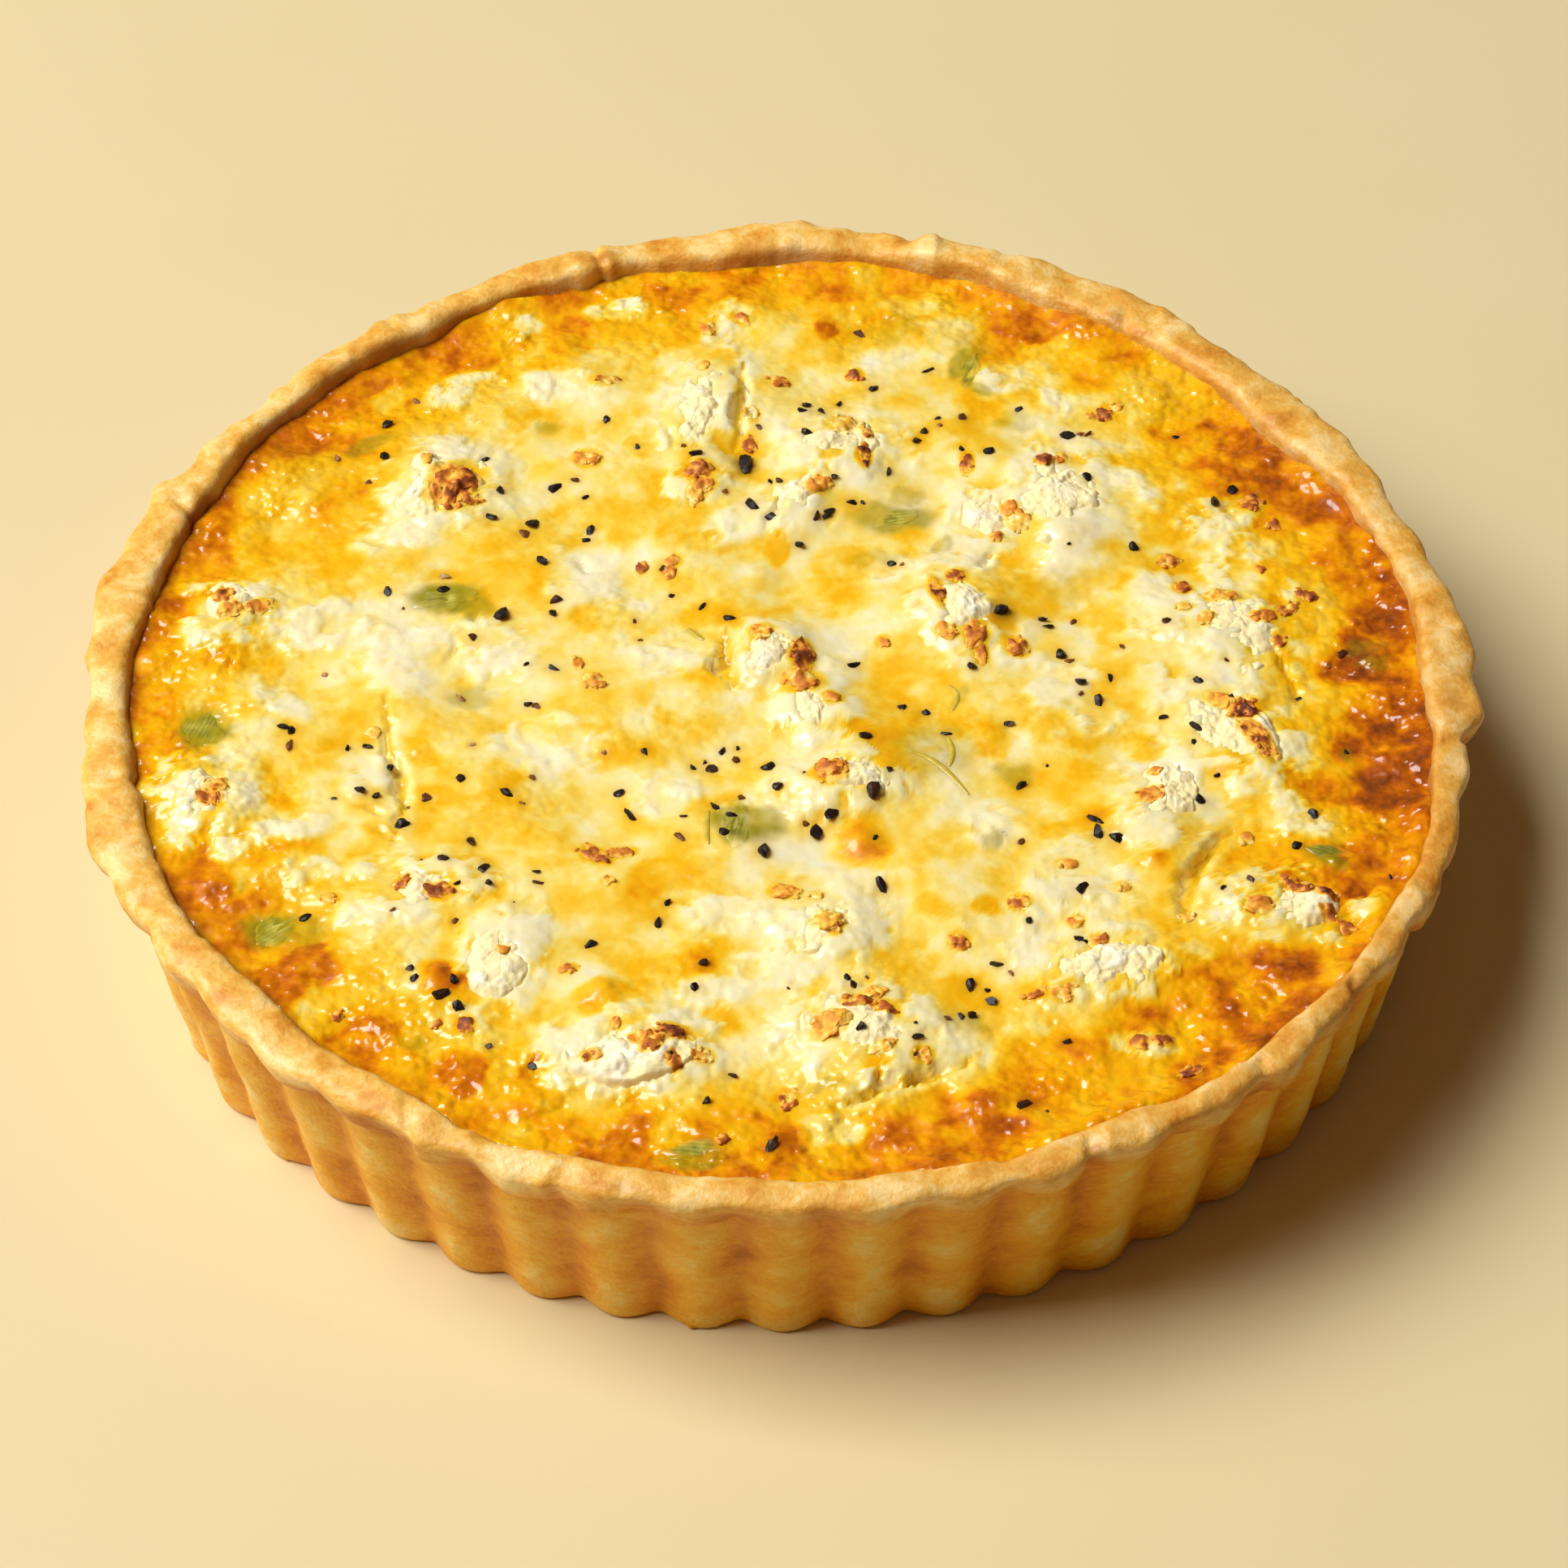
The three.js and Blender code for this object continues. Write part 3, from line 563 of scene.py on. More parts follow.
@dataclass(frozen=True)
class CheeseFinish:
    """Fresh goat cheese, crumbled by hand and toasted where it stands proud.

    It is white and chalky with a fine crumb; its tips go gold, orange and then a browned red under the
    grill.
    """

    name: str
    crumb_width: float = 0.9
    curd_width: float = 3.0
    glow: float = 0.2

    def make(self) -> Material:
        """Builds the material from the attributes toast, from 0, white, to 1, burnt, and skin."""
        material = bpy.data.materials.new(self.name)
        tree = new_tree(material)
        place = add(tree, "TexCoord", give="Object")
        toast, skin = (add(tree, "Attribute", give="Fac", attribute_name=label)
                       for label in ("toast", "skin"))
        crumb = add(tree, "TexNoise", {"Vector": place, "Scale": per_mm(self.crumb_width), "Detail": 3.0})
        lumps = add(tree, "TexNoise", {"Vector": place, "Scale": per_mm(self.curd_width), "Detail": 2.0})
        uneven = add(tree, "Math", {0: crumb, 1: 0.22, 2: toast}, operation="MULTIPLY_ADD")
        tone = add(tree, "Math", {0: uneven, 1: 0.11}, operation="SUBTRACT", use_clamp=True)
        curd = add(tree, "MapRange", {"Value": lumps, "From Min": 0.35, "From Max": 0.7})
        white = add(tree, "Mix", {0: curd, 6: "FFF7DE", 7: "FFEFC4"}, 2, data_type="RGBA")
        coated = add(tree, "Mix", {0: skin, 6: white, 7: "FFEAAE"}, 2, data_type="RGBA")
        browned = add(tree, "ValToRGB", {"Fac": tone}, stops=TOASTED)
        share = add(tree, "MapRange", {"Value": tone, "From Min": 0.03, "From Max": 0.2})
        surface = add(tree, "Mix", {0: share, 6: coated, 7: browned}, 2, data_type="RGBA")
        bump = add(tree, "Bump", {"Height": crumb, "Strength": 0.4, "Distance": 0.25 * MM})
        shader = add(tree, "BsdfPrincipled", {
            "Base Color": surface, "Normal": bump, "IOR": 1.4, "Roughness": 0.6,
            "Subsurface Weight": self.glow, "Subsurface Radius": (1.0, 0.95, 0.8),
            "Subsurface Scale": 0.8 * MM})
        add(tree, "OutputMaterial", {"Surface": shader})
        return material


@dataclass(frozen=True)
class LeekFinish:
    """Leek, sliced thin and cooked soft: olive and translucent, with pale fibres along the leaf."""

    fibre_width: float = 0.7
    blotch_width: float = 2.4

    def make(self) -> Material:
        """Builds the material from the attributes across, depth, fade, bake and green."""
        material = bpy.data.materials.new("cooked_leek")
        tree = new_tree(material)
        place = add(tree, "TexCoord", give="Object")
        across, depth, fade, bake, green = (add(tree, "Attribute", give="Fac", attribute_name=label)
                                            for label in ("across", "depth", "fade", "bake", "green"))
        rings = add(tree, "Math", {0: across, 1: 2.0 * math.pi / self.fibre_width}, operation="MULTIPLY")
        fibres = add(tree, "Math", {0: rings}, operation="SINE")
        blotches = add(tree, "TexNoise", {"Vector": place, "Scale": per_mm(self.blotch_width),
                                          "Detail": 2.0})
        shade = add(tree, "Math", {0: fibres, 1: 0.06, 2: blotches}, operation="MULTIPLY_ADD")
        tone = add(tree, "Math", {0: shade, 1: depth}, operation="ADD", use_clamp=True)
        leaf = add(tree, "ValToRGB", {"Fac": tone}, stops=LEAF)
        skin = add(tree, "ValToRGB", {"Fac": bake}, stops=BAKED)
        over = add(tree, "Mix", {0: green, 6: skin, 7: LEAFY}, 2, data_type="RGBA")
        veiled = add(tree, "Mix", {0: fade, 6: leaf, 7: over}, 2, data_type="RGBA")
        shader = add(tree, "BsdfPrincipled", {
            "Base Color": veiled, "IOR": 1.4, "Roughness": 0.28, "Subsurface Weight": 0.3,
            "Subsurface Radius": (1.0, 0.9, 0.3), "Subsurface Scale": 1.5 * MM, "Coat Weight": 0.5,
            "Coat Roughness": 0.08})
        add(tree, "OutputMaterial", {"Surface": shader})
        return material


@dataclass(frozen=True)
class PepperFinish:
    """Black peppercorns cracked in a mill: shiny black-brown shell and paler broken faces."""

    speck_width: float = 0.6

    def make(self) -> Material:
        """Builds the material from the attribute pale, the share of broken face on each grain."""
        material = bpy.data.materials.new("cracked_black_pepper")
        tree = new_tree(material)
        place = add(tree, "TexCoord", give="Object")
        pale = add(tree, "Attribute", give="Fac", attribute_name="pale")
        speck = add(tree, "TexNoise", {"Vector": place, "Scale": per_mm(self.speck_width), "Detail": 2.0})
        tone = add(tree, "Math", {0: speck, 1: 0.5, 2: -0.18}, operation="MULTIPLY_ADD")
        shift = add(tree, "Math", {0: tone, 1: pale}, operation="ADD", use_clamp=True)
        shell = add(tree, "ValToRGB", {"Fac": shift}, stops=PEPPER)
        shader = add(tree, "BsdfPrincipled", {"Base Color": shell, "IOR": 1.45, "Roughness": 0.42,
                                              "Specular IOR Level": 0.35})
        add(tree, "OutputMaterial", {"Surface": shader})
        return material


@dataclass(frozen=True)
class TabletopFinish:
    """Cream paper backdrop: matt, with a barely visible tooth."""

    tooth_width: float = 60.0

    def make(self) -> Material:
        """Builds the material."""
        material = bpy.data.materials.new("cream_paper")
        tree = new_tree(material)
        place = add(tree, "TexCoord", give="Object")
        tooth = add(tree, "TexNoise", {"Vector": place, "Scale": per_mm(self.tooth_width), "Detail": 2.0})
        paper = add(tree, "Mix", {0: tooth, 6: "E5D2A2", 7: "E2CF9C"}, 2, data_type="RGBA")
        shader = add(tree, "BsdfPrincipled", {"Base Color": paper, "Roughness": 0.55,
                                              "Specular IOR Level": 0.5})
        add(tree, "OutputMaterial", {"Surface": shader})
        return material


# -------------------------------- forms listed one by one


@dataclass(frozen=True)
class Lap:
    """Where the dough is lapped over itself on the rim: a step that fades out over run degrees."""

    at: float
    run: float
    out: float
    up: float
    inward: float

    def share(self, degrees: Array) -> Array:
        """Steep rise on one side of the lap and a slow fall over run degrees on the other."""
        t = turn_from(degrees, self.at) / self.run
        return np.where(t < 0.0, bell(t, 0.22), np.exp(-np.clip(t, 0.0, 9.0)) * (t < 6.0))


@dataclass(frozen=True)
class Swell:
    """A long stretch of rim that leans out, is wider, or stands on a fuller wall."""

    at: float
    spread: float
    out: float
    wide: float
    wall: float


@dataclass(frozen=True)
class Crease:
    """A fold (deep above 0) or nick (below 0) across the rim, from one share of its width to another."""

    at: float
    lean: float
    wide: float
    deep: float
    start: float
    end: float


@dataclass(frozen=True)
class Chunk:
    """A piece of goat cheese: centre, half length, half width and height in mm, and its turn in degrees."""

    x: float
    y: float
    long: float
    wide: float
    high: float
    turn: float = 0.0

    def axes(self) -> tuple[float, float]:
        """Cosine and sine of the turn."""
        return math.cos(math.radians(self.turn)), math.sin(math.radians(self.turn))

    def reach(self, x: Array, y: Array, grow: float = 0.0) -> Array:
        """Distance from the centre as a share of the outline, grown by grow mm: 1 on the ellipse.

        Args:
            x: Places across, in mm.
            y: Places up, in mm.
            grow: Millimetres added all round the outline.

        Returns:
            The share for each place.
        """
        c, s = self.axes()
        dx, dy = x - self.x, y - self.y
        return np.hypot((dx * c + dy * s) / (self.long + grow), (dy * c - dx * s) / (self.wide + grow))

    def place(self, along: Array, across: Array) -> tuple[Array, Array]:
        """Where a point is that lies that far along and across the piece from its centre."""
        c, s = self.axes()
        return self.x + along * c - across * s, self.y + along * s + across * c


@dataclass(frozen=True)
class Patch(Chunk):
    """An oval area of the custard whose browning is pulled towards high."""


@dataclass(frozen=True)
class Slice(Chunk):
    """A slice of leek: like a chunk, with its curl in mm in place of high."""


@dataclass(frozen=True)
class Toast(Chunk):
    """A crumb or ridge of browned cheese: like a chunk, with its darkness in place of high."""

    @property
    def dark(self) -> float:
        """How dark it is, from 0, white, to 1, burnt."""
        return self.high


@dataclass(frozen=True)
class Crack:
    """A split in the custard that runs through its points, open widest in the middle."""

    wide: float
    deep: float
    points: tuple[tuple[float, float], ...]

    def opening(self, x: Array, y: Array, floor: float = 0.12) -> tuple[Array, Array]:
        """Distance from the line and how far open the crack is there.

        Args:
            x: Places across, in mm.
            y: Places up, in mm.
            floor: Share that is open at the two ends.

        Returns:
            The distance in mm, and floor + (1 - floor) times the sine of the share of the way along.
        """
        ends = np.array(self.points, float)
        steps = ends[1:] - ends[:-1]
        lengths = np.linalg.norm(steps, axis=1)
        starts = np.cumsum(lengths) - lengths
        best = np.full(np.shape(x), 1e9)
        along = np.zeros(np.shape(x))
        for (x0, y0), (dx, dy), length, start in zip(ends[:-1], steps, lengths, starts):
            t = np.clip(((x - x0) * dx + (y - y0) * dy) / length**2, 0.0, 1.0)
            gap = np.hypot(x - x0 - t * dx, y - y0 - t * dy)
            nearer = gap < best
            best = np.where(nearer, gap, best)
            along = np.where(nearer, (start + t * length) / lengths.sum(), along)
        return best, floor + (1.0 - floor) * np.sin(math.pi * along)


@dataclass(frozen=True)
class Grain:
    """A grain of pepper: centre, length in mm, and pale, 0 for black shell and 1 for broken face."""

    x: float
    y: float
    size: float
    pale: float = 0.0


LAPS = [Lap(*row) for row in (
    (-5.5, 7, 2.2, 0.4, 0.8), (36.5, -7, 1.3, 0.4, 0.6), (75.5, -7, 0.9, 1.1, 0.4),
    (106.5, 5, 0.7, 0.9, 0.9), (128, 6, 0.8, 0.3, 0.2), (157.5, 7, 2.7, 0.3, -0.6), (169, 9, 2.3, 0.4, 0.4),
    (196, 5, 0.9, 0.3, 0.7), (211, 6, 0.7, 0.3, 0.5), (241, -6, 0.6, 0.2, 0.5), (312, 6, 0.7, 0.3, 0.4))]

SWELLS = [Swell(*row) for row in (
    (16, 9, -0.6, 0.4, 0), (38, 13, -1, 2.4, 0), (56, 8, 1.7, 1.2, 0.6), (88, 7, 1.9, 0.2, 0.8),
    (118, 12, -0.8, 0, 0), (141, 8, -1.3, -0.3, -0.3), (202, 12, 1.5, -0.9, 0.6), (216, 11, 0, 0, 1.5),
    (257, 22, -0.6, -0.8, 0), (287, 6, 0, -1.4, 0), (300, 14, 0.6, -0.3, 0), (323, 24, 0.7, -3.8, 1.4))]

CREASES = [Crease(*row) for row in (
    (107.3, 0, 0.9, -1, 0.05, 1), (109.4, 0, 1.7, 0.55, 0.15, 1), (75, -0.1, 0.9, 0.5, 0, 0.9),
    (77.6, 0, 1.3, -0.7, 0, 0.5), (37.8, 0.25, 1.1, -0.8, 0, 0.7), (34.6, 0.3, 1.4, 0.5, 0.1, 0.9),
    (252, 0.1, 1.1, 0.5, 0, 0.6), (258, 0, 1.5, -0.5, 0.15, 0.55), (294.5, 0.15, 0.7, -1, 0, 0.5),
    (296.2, 0.15, 1.2, 0.45, 0, 0.6), (321.5, 0.1, 0.8, -1, 0, 0.5), (323.2, 0.1, 1.2, 0.5, 0, 0.6),
    (350.8, -0.2, 1, -0.9, 0, 0.8), (171, 0.2, 0.9, 0.45, 0.3, 1), (201, 0.2, 0.9, 0.4, 0.2, 0.9),
    (55.5, -0.4, 1.2, -0.6, 0.5, 1), (16.5, 0.3, 1.1, -0.5, 0.35, 1), (4.5, -0.2, 1, -0.5, 0.5, 1),
    (24, 0.5, 1.3, 0.4, 0.4, 1), (128.6, 0.1, 1.1, -0.6, 0, 0.5), (158.5, 0.3, 1.3, -0.9, 0.5, 1),
    (192.5, 0.3, 1, -0.6, 0.5, 1), (212, 0.4, 1.1, -0.6, 0.4, 1), (239.5, -0.3, 1, -0.5, 0.1, 0.8),
    (310.5, 0.2, 0.9, -0.5, 0.1, 0.7), (333, 0.3, 1.2, 0.4, 0.1, 0.8), (90, 0, 1.3, -0.4, 0.7, 1))]

# Section of the rolled rim: share of its width from outside, drop below the crest in mm, and how much of
# the flutes is left.
RIM_SECTION = ((0.17, 6.4, 0.95), (0.05, 3.8, 0.7), (0.03, 1.6, 0.34), (0.24, 0.35, 0.12), (0.7, 0.0, 0.0),
               (0.93, 0.9, 0.0))

# Dark marks on the rim, stains mixed with painted shade in its nicks and on its inner slope at the left and
# back: angle, spread in degrees, share of the rim's width from outside, strength.
STAINS_AND_SHADE = ((90, 4, 1, 0.5), (123, 2.2, 0.9, 0.55), (130, 3, 0.95, 0.65), (137, 3, 1, 0.5),
          (146, 4, 1.05, 0.4), (159.5, 3.5, 1, 0.75), (170, 5, 1.05, 0.5), (184, 8, 1.05, 0.5),
          (192, 3, 0.95, 0.6), (212, 4, 1, 0.6), (228, 8, 1.05, 0.45), (106.8, 1, 0.6, 0.6),
          (55.5, 1.2, 0.85, 0.5), (258, 1.6, 0.3, 0.3), (294.5, 0.7, 0.25, 0.55), (321.5, 0.8, 0.25, 0.55),
          (355, 2.5, 0.6, 0.2), (19, 2, 1, 0.3), (245, 12, 1.08, 0.3), (30, 12, 1.08, 0.25),
          (340, 12, 1.1, 0.35))

CHEESE = [Chunk(*row) for row in (
    (-56, 45, 9, 6.5, 3.3, 60), (-1.5, 3.5, 5.2, 4.4, 3, 110), (5.5, -8.5, 5.6, 4.2, 2.8, -60),
    (46.5, 40, 10, 6.3, 3.3, 80), (34, 36, 5.4, 4.4, 2.3, 100), (-12.5, 64, 10, 4.2, 3.4, 80),
    (-13, 47, 4.6, 3.6, 2.5, 30), (10, 54, 8.2, 4.8, 2.5, 10), (3.5, 41, 5, 4, 2.5, 70),
    (30, 14, 9.2, 4.8, 2.5, -70), (73, 9, 9.6, 6.8, 2, 85), (71, -14, 9.6, 6.2, 3.3, -60),
    (60, -28, 7.6, 4.4, 2.5, 80), (49, -62, 7.8, 4.8, 2.5, 10), (77, -50, 7.4, 4.6, 2.3),
    (12, -74.5, 8, 5.8, 3, -10), (10, -24.5, 6.8, 4.4, 2.8, 5), (-22, -79, 9, 5.2, 3, 8),
    (-42, -60, 7.6, 4.4, 2, 80), (-55, -45.5, 6.6, 4.6, 2.2, 5), (-90, -26.5, 6, 5, 2.5, 110),
    (-89, 15, 6, 4.4, 2.5, -70), (7, -55, 6, 4.4, 1.9, 20))]

LEEK = [Slice(*row) for row in (
    (-54, 18, 6, 3.8, 0.7, 10), (-91, -11.5, 5.6, 4, 0.5, 75), (-76, -52.5, 5.4, 3.8, 0.8, 35),
    (-7, -33, 6, 3.8, 0.6, 80), (19.5, 36.5, 5.4, 2.4, 0.5, 10), (33, 74, 5.2, 2.4, 0.7, 65),
    (-12.5, -96.5, 5.2, 2.2, 0.4, -8), (84.5, -39, 4.2, 1.8, 0.4, -25))]

CRACKS = [
    Crack(1.4, 1.4, ((-63, -4), (-61.5, -15), (-59, -22), (-58.5, -31), (-60.5, -38))),
    Crack(2.4, 1.9, ((71, -33), (64.5, -41), (62.5, -48), (60.5, -55))),
    Crack(2.0, 2.0, ((-6, 75), (-6.6, 66), (-7, 58), (-7.6, 53))),
    Crack(1.6, 1.8, ((7, -89), (16.6, -85), (26.5, -81.5), (29.5, -78.5))),
    Crack(3.0, 2.6, ((-8.6, 10), (-8.4, 2), (-6, -3.5)))]

FINE_CRACKS = [Crack(0.9, 0.9, points) for points in (
    ((-88.5, 6), (-88.6, 3), (-87, -0.6)), ((-63, -33), (-60.5, -35.5), (-58.5, -37.5)),
    ((-52.5, 9.5), (-52, 4)), ((-33, 29), (-31.6, 26), (-31, 22.5)),
    ((60, -56), (57, -58.5), (50, -63), (45, -66.5)),
    ((77.5, 12), (79.5, 5), (82, -2), (83, -7), (81.5, -10.5)), ((-49.5, 16), (-49.8, 9)),
    ((11, -22), (14, -25), (16.5, -28.5)), ((-20, 62), (-17, 52)), ((4, 44), (0.5, 38), (-3, 33)),
    ((-66, -28), (-62.5, -29), (-60.5, -27)), ((36, 30), (32, 22)))]

# Slow waves of the custard's top: height in mm, mm across and mm up for each radian, and phase.
WAVES = ((0.30, 5.1, 9.3, 1.0), (0.28, 8.7, -4.9, 2.2), (0.22, 3.7, 4.3, 0.0), (0.25, -13.0, 6.1, 0.6))

# Browning of the skin at the rim, by angle: angle, radius where it starts, value at the rim.
EDGE_BROWNING = ((0, 78, 0.88), (15, 80, 0.7), (30, 78, 0.78), (45, 80, 0.5), (60, 79, 0.62),
                 (75, 82, 0.56), (90, 82, 0.58), (110, 80, 0.6), (120, 80, 0.64), (135, 78, 0.68),
                 (150, 78, 0.7), (165, 84, 0.68), (180, 88, 0.62), (195, 92, 0.5), (208, 80, 0.62),
                 (218, 82, 0.56), (226, 82, 0.58), (240, 84, 0.56), (255, 84, 0.62), (270, 87, 0.7),
                 (285, 86, 0.76), (300, 84, 0.6), (315, 78, 0.74), (330, 80, 0.68), (345, 80, 0.87))

# Skin climbing the rim, by angle: angle, height in mm.
EDGE_CLIMB = ((0, 1), (30, 1), (50, 0.8), (80, 0.5), (130, 0.4), (200, 0.4), (250, 0.6), (280, 1.2),
              (300, 1.8), (345, 1.8))

PATCHES = [Patch(*row) for row in (
    # pale, where curds are near the skin
    (-44, 86, 3.6, 3, 0, 90), (-28.5, 91, 5, 2.6, 0.02, 5), (-52, 70, 8, 4, 0.12, 10),
    (-38, 70, 8, 3.4, 0.04, -5), (-63, 36, 7, 8, 0.08), (-92, 12, 3.6, 6, 0.04), (-91, -26.5, 6, 6, 0.02),
    (-80, -5, 6, 3, 0.1, -30), (-72, 10, 8, 8, 0.12), (-60, 5, 10, 8, 0.08), (-75, -33, 6, 3, 0.06, 10),
    (-64, -22, 4.5, 6, 0.04), (-72, -42, 5, 3, 0.1, -20), (-62, -53, 5, 4, 0.08),
    (-42, -60, 4, 8, 0.02, -10), (-32, 22, 6, 8, 0.03), (-36, -15, 9, 6, 0.08), (-17, 5, 7, 6, 0.05),
    (-18, -26, 6, 4, 0.04), (-45, 5, 6, 8, 0.08), (-9, 85, 4, 7, 0.1, -25), (-13, 68, 8, 9, 0.12),
    (2, 62, 9, 9, 0.16), (16, 60, 8, 7, 0.2), (18, 24, 5, 4, 0.06), (-6, 35, 7, 4, 0.03, 30),
    (31, 28, 6, 9, 0.1), (28, 13, 6, 6, 0.03), (14, 8, 5, 4, 0.05), (36, 5, 4, 6, 0.06),
    (48, 38, 7, 12, 0.02, 10), (64, 12, 8, 12, 0.06), (72, 36, 7, 4, 0.1, 20), (77, 29, 4, 4, 0.12),
    (59, 43, 4, 7, 0.1, 30), (66, -14, 6, 6, 0.04), (60, -24, 6, 6, 0.03), (42, -2, 8, 7, 0.12),
    (50, -10, 5, 4, 0.1), (46, -45, 9, 8, 0.08), (33, -33, 4, 5, 0.06), (34, -53, 8, 5, 0.08),
    (80, -33, 6, 3, 0.14), (73, -53, 7, 4, 0.14, 5), (40, -60, 9, 4, 0.06, 30), (54, -77, 3.5, 2.4, 0.08),
    (10, -48, 10, 6, 0.05), (-6, -52, 8, 5, 0.08), (-12, -70, 6, 6, 0.1), (-30, -76, 6, 4, 0.06),
    (-24, -83, 8, 3, 0.06, -10), (2, -62, 8, 5, 0.14), (25, -76, 4, 4, 0.16), (8, -93, 5, 2, 0.22),
    (30, 83, 4, 5, 0.2, -20), (38, 72, 4, 4, 0.12), (24, 91, 5, 2.6, 0.25, -10), (47, 66, 2.4, 4, 0.14, 20),
    (-85, -35, 3, 4, 0.14), (-93, -3, 2, 5, 0.3), (-66, 66, 4, 5, 0.24), (-48, 62, 5, 4, 0.24),
    (4, -2, 7, 9, 0.02), (-56, 46, 8, 10, 0.02, -20),
    # gold to dark brown
    (-69, 38.5, 3.6, 4.2, 0.56), (-77, 32, 6, 4, 0.42), (-72, 26, 3.6, 2.6, 0.42),
    (-85, 25, 3, 8, 0.46, 10), (-83, 40, 6, 8, 0.42), (-62, 62, 9, 4, 0.46, 20), (-44, 63, 3, 4, 0.5),
    (-24, 73, 3, 6, 0.4), (-29, 58, 9, 4, 0.36), (-23, 84, 9, 5, 0.46), (-82, 3, 2.6, 5, 0.44),
    (-67, 4, 2.4, 3, 0.32), (-55, 21.5, 5, 2, 0.42, 20), (-31.5, 13, 2.6, 4, 0.44, 20),
    (-10.5, 31.5, 4.6, 2.6, 0.46, -20), (-1, 30.5, 2.2, 3.2, 0.56, -20), (-17, 33.4, 2.2, 1.4, 0.44),
    (-28, -12.5, 2, 2, 0.42), (-18, -9, 2.4, 2, 0.4), (-13, -13, 4, 3, 0.32), (-56, -17, 2.6, 3.4, 0.44),
    (-79, -23, 2, 6, 0.5, 20), (-35, -37, 4, 2.4, 0.42), (-17, -43.5, 6, 3.4, 0.5, 15),
    (-20, -48, 2.6, 2, 0.54), (-12.5, -61, 2.6, 3.4, 0.56), (-27, -68, 5, 4, 0.52), (-9, -72, 3, 3, 0.48),
    (-24, -55, 7, 5, 0.34, 30), (6, -65, 3.6, 2.6, 0.4), (13, -36, 4.2, 4.6, 0.58),
    (15, -12.5, 4.4, 4, 0.54), (13, -14, 3.4, 3, 0.5), (20, -5, 6, 3, 0.38, -20),
    (33.5, -14.5, 3.4, 4, 0.52), (46, -17, 3, 3, 0.4), (57.5, -16.5, 3, 3, 0.44), (40, -7, 5, 3, 0.3),
    (54, 25.5, 4, 6, 0.44), (65.5, 26.5, 5, 3, 0.6), (66, 36, 5, 5, 0.42), (70, 37, 3, 2, 0.56, -40),
    (66, 56, 6, 2.4, 0.6, -35), (66, 62, 6, 4, 0.42), (47, 79, 6, 4, 0.46), (58, 72, 7, 4, 0.5),
    (82, 17, 4, 3, 0.56), (83, 10, 4, 4, 0.56), (86, 21, 5, 4, 0.46), (84, -14, 3.6, 6, 0.46),
    (85, -25, 4, 3, 0.64), (48, -33, 9, 2.8, 0.5, 8), (26, -37, 4, 5, 0.32), (31, -49.5, 3, 2.4, 0.52),
    (57, -41, 3, 3, 0.56), (68, -41, 8, 2.6, 0.5, 15), (67, -48, 6, 3, 0.46), (64, -56, 4, 4, 0.5),
    (56, -67, 6, 3.4, 0.62, 20), (57, -73, 8, 3, 0.52, 15), (38, -71, 8, 3, 0.46), (26, -68, 6, 4, 0.46),
    (43, -79, 5, 4, 0.58), (30, -88, 4, 2.6, 0.86), (6, -85, 4, 2, 0.42), (-40, -70, 5, 4, 0.46, 10),
    (-50.5, -64.5, 4.2, 3.2, 0.74, -15), (-55, -72, 4, 3, 0.5, -40), (-61, -72.5, 3.6, 2.4, 0.86),
    (-68, -68, 4, 6, 0.36), (-36, -82.5, 4, 2.6, 0.78), (-47.5, -82, 3, 4, 0.82),
    (-86.5, -44, 3, 5, 0.84, 20), (-78, -47, 3, 3, 0.72), (8, 85, 2.6, 4, 0.8), (-36, 81, 4, 4, 0.68),
    (-13, 95, 6, 3, 0.66), (12, 93, 4, 3, 0.64), (47, 85, 6, 3, 0.72, 10), (53, 86, 5, 2.6, 0.72),
    (67, 77, 1.6, 1.8, 0.74), (80, 54, 6, 4, 0.82), (85, 42, 4, 8, 0.8, -10), (-67, 77, 4, 7, 0.72, -10),
    (-60, 82, 4, 4, 0.7), (-52, 86, 3, 3, 0.66), (-39, 94, 4, 3, 0.84, 20), (-77, 67, 3.4, 4, 0.78),
    (-98, 35, 3, 6, 0.82), (-88, 50, 4, 6, 0.66, -30), (91, 29, 4, 4, 0.76), (98, 17, 3.6, 4.6, 0.84),
    (101, 6, 4, 6, 0.9), (97, -1, 4, 6, 0.92), (95, -9, 4, 4, 0.88), (97, -18, 5, 4, 0.92),
    (92, -26, 7, 3, 0.84), (93, -37, 6, 5, 0.8), (76, -63, 6, 5, 0.92, -20), (78, -71, 5, 4, 0.92, 40),
    (72, -77, 5, 3, 0.84), (61, -81, 5, 3, 0.8, 20), (28, -94, 8, 3.4, 0.9, 5),
    (17, -100, 6, 2.4, 0.84, 10), (0, -99, 8, 2.6, 0.82), (-28, -93, 8, 3, 0.76, -15),
    (-76, -66, 5, 5, 0.88, -30), (-70, -62, 5, 3.4, 0.8), (-84, -57, 4, 5, 0.78, 30),
    (-95, -17, 2.4, 5, 0.7))]

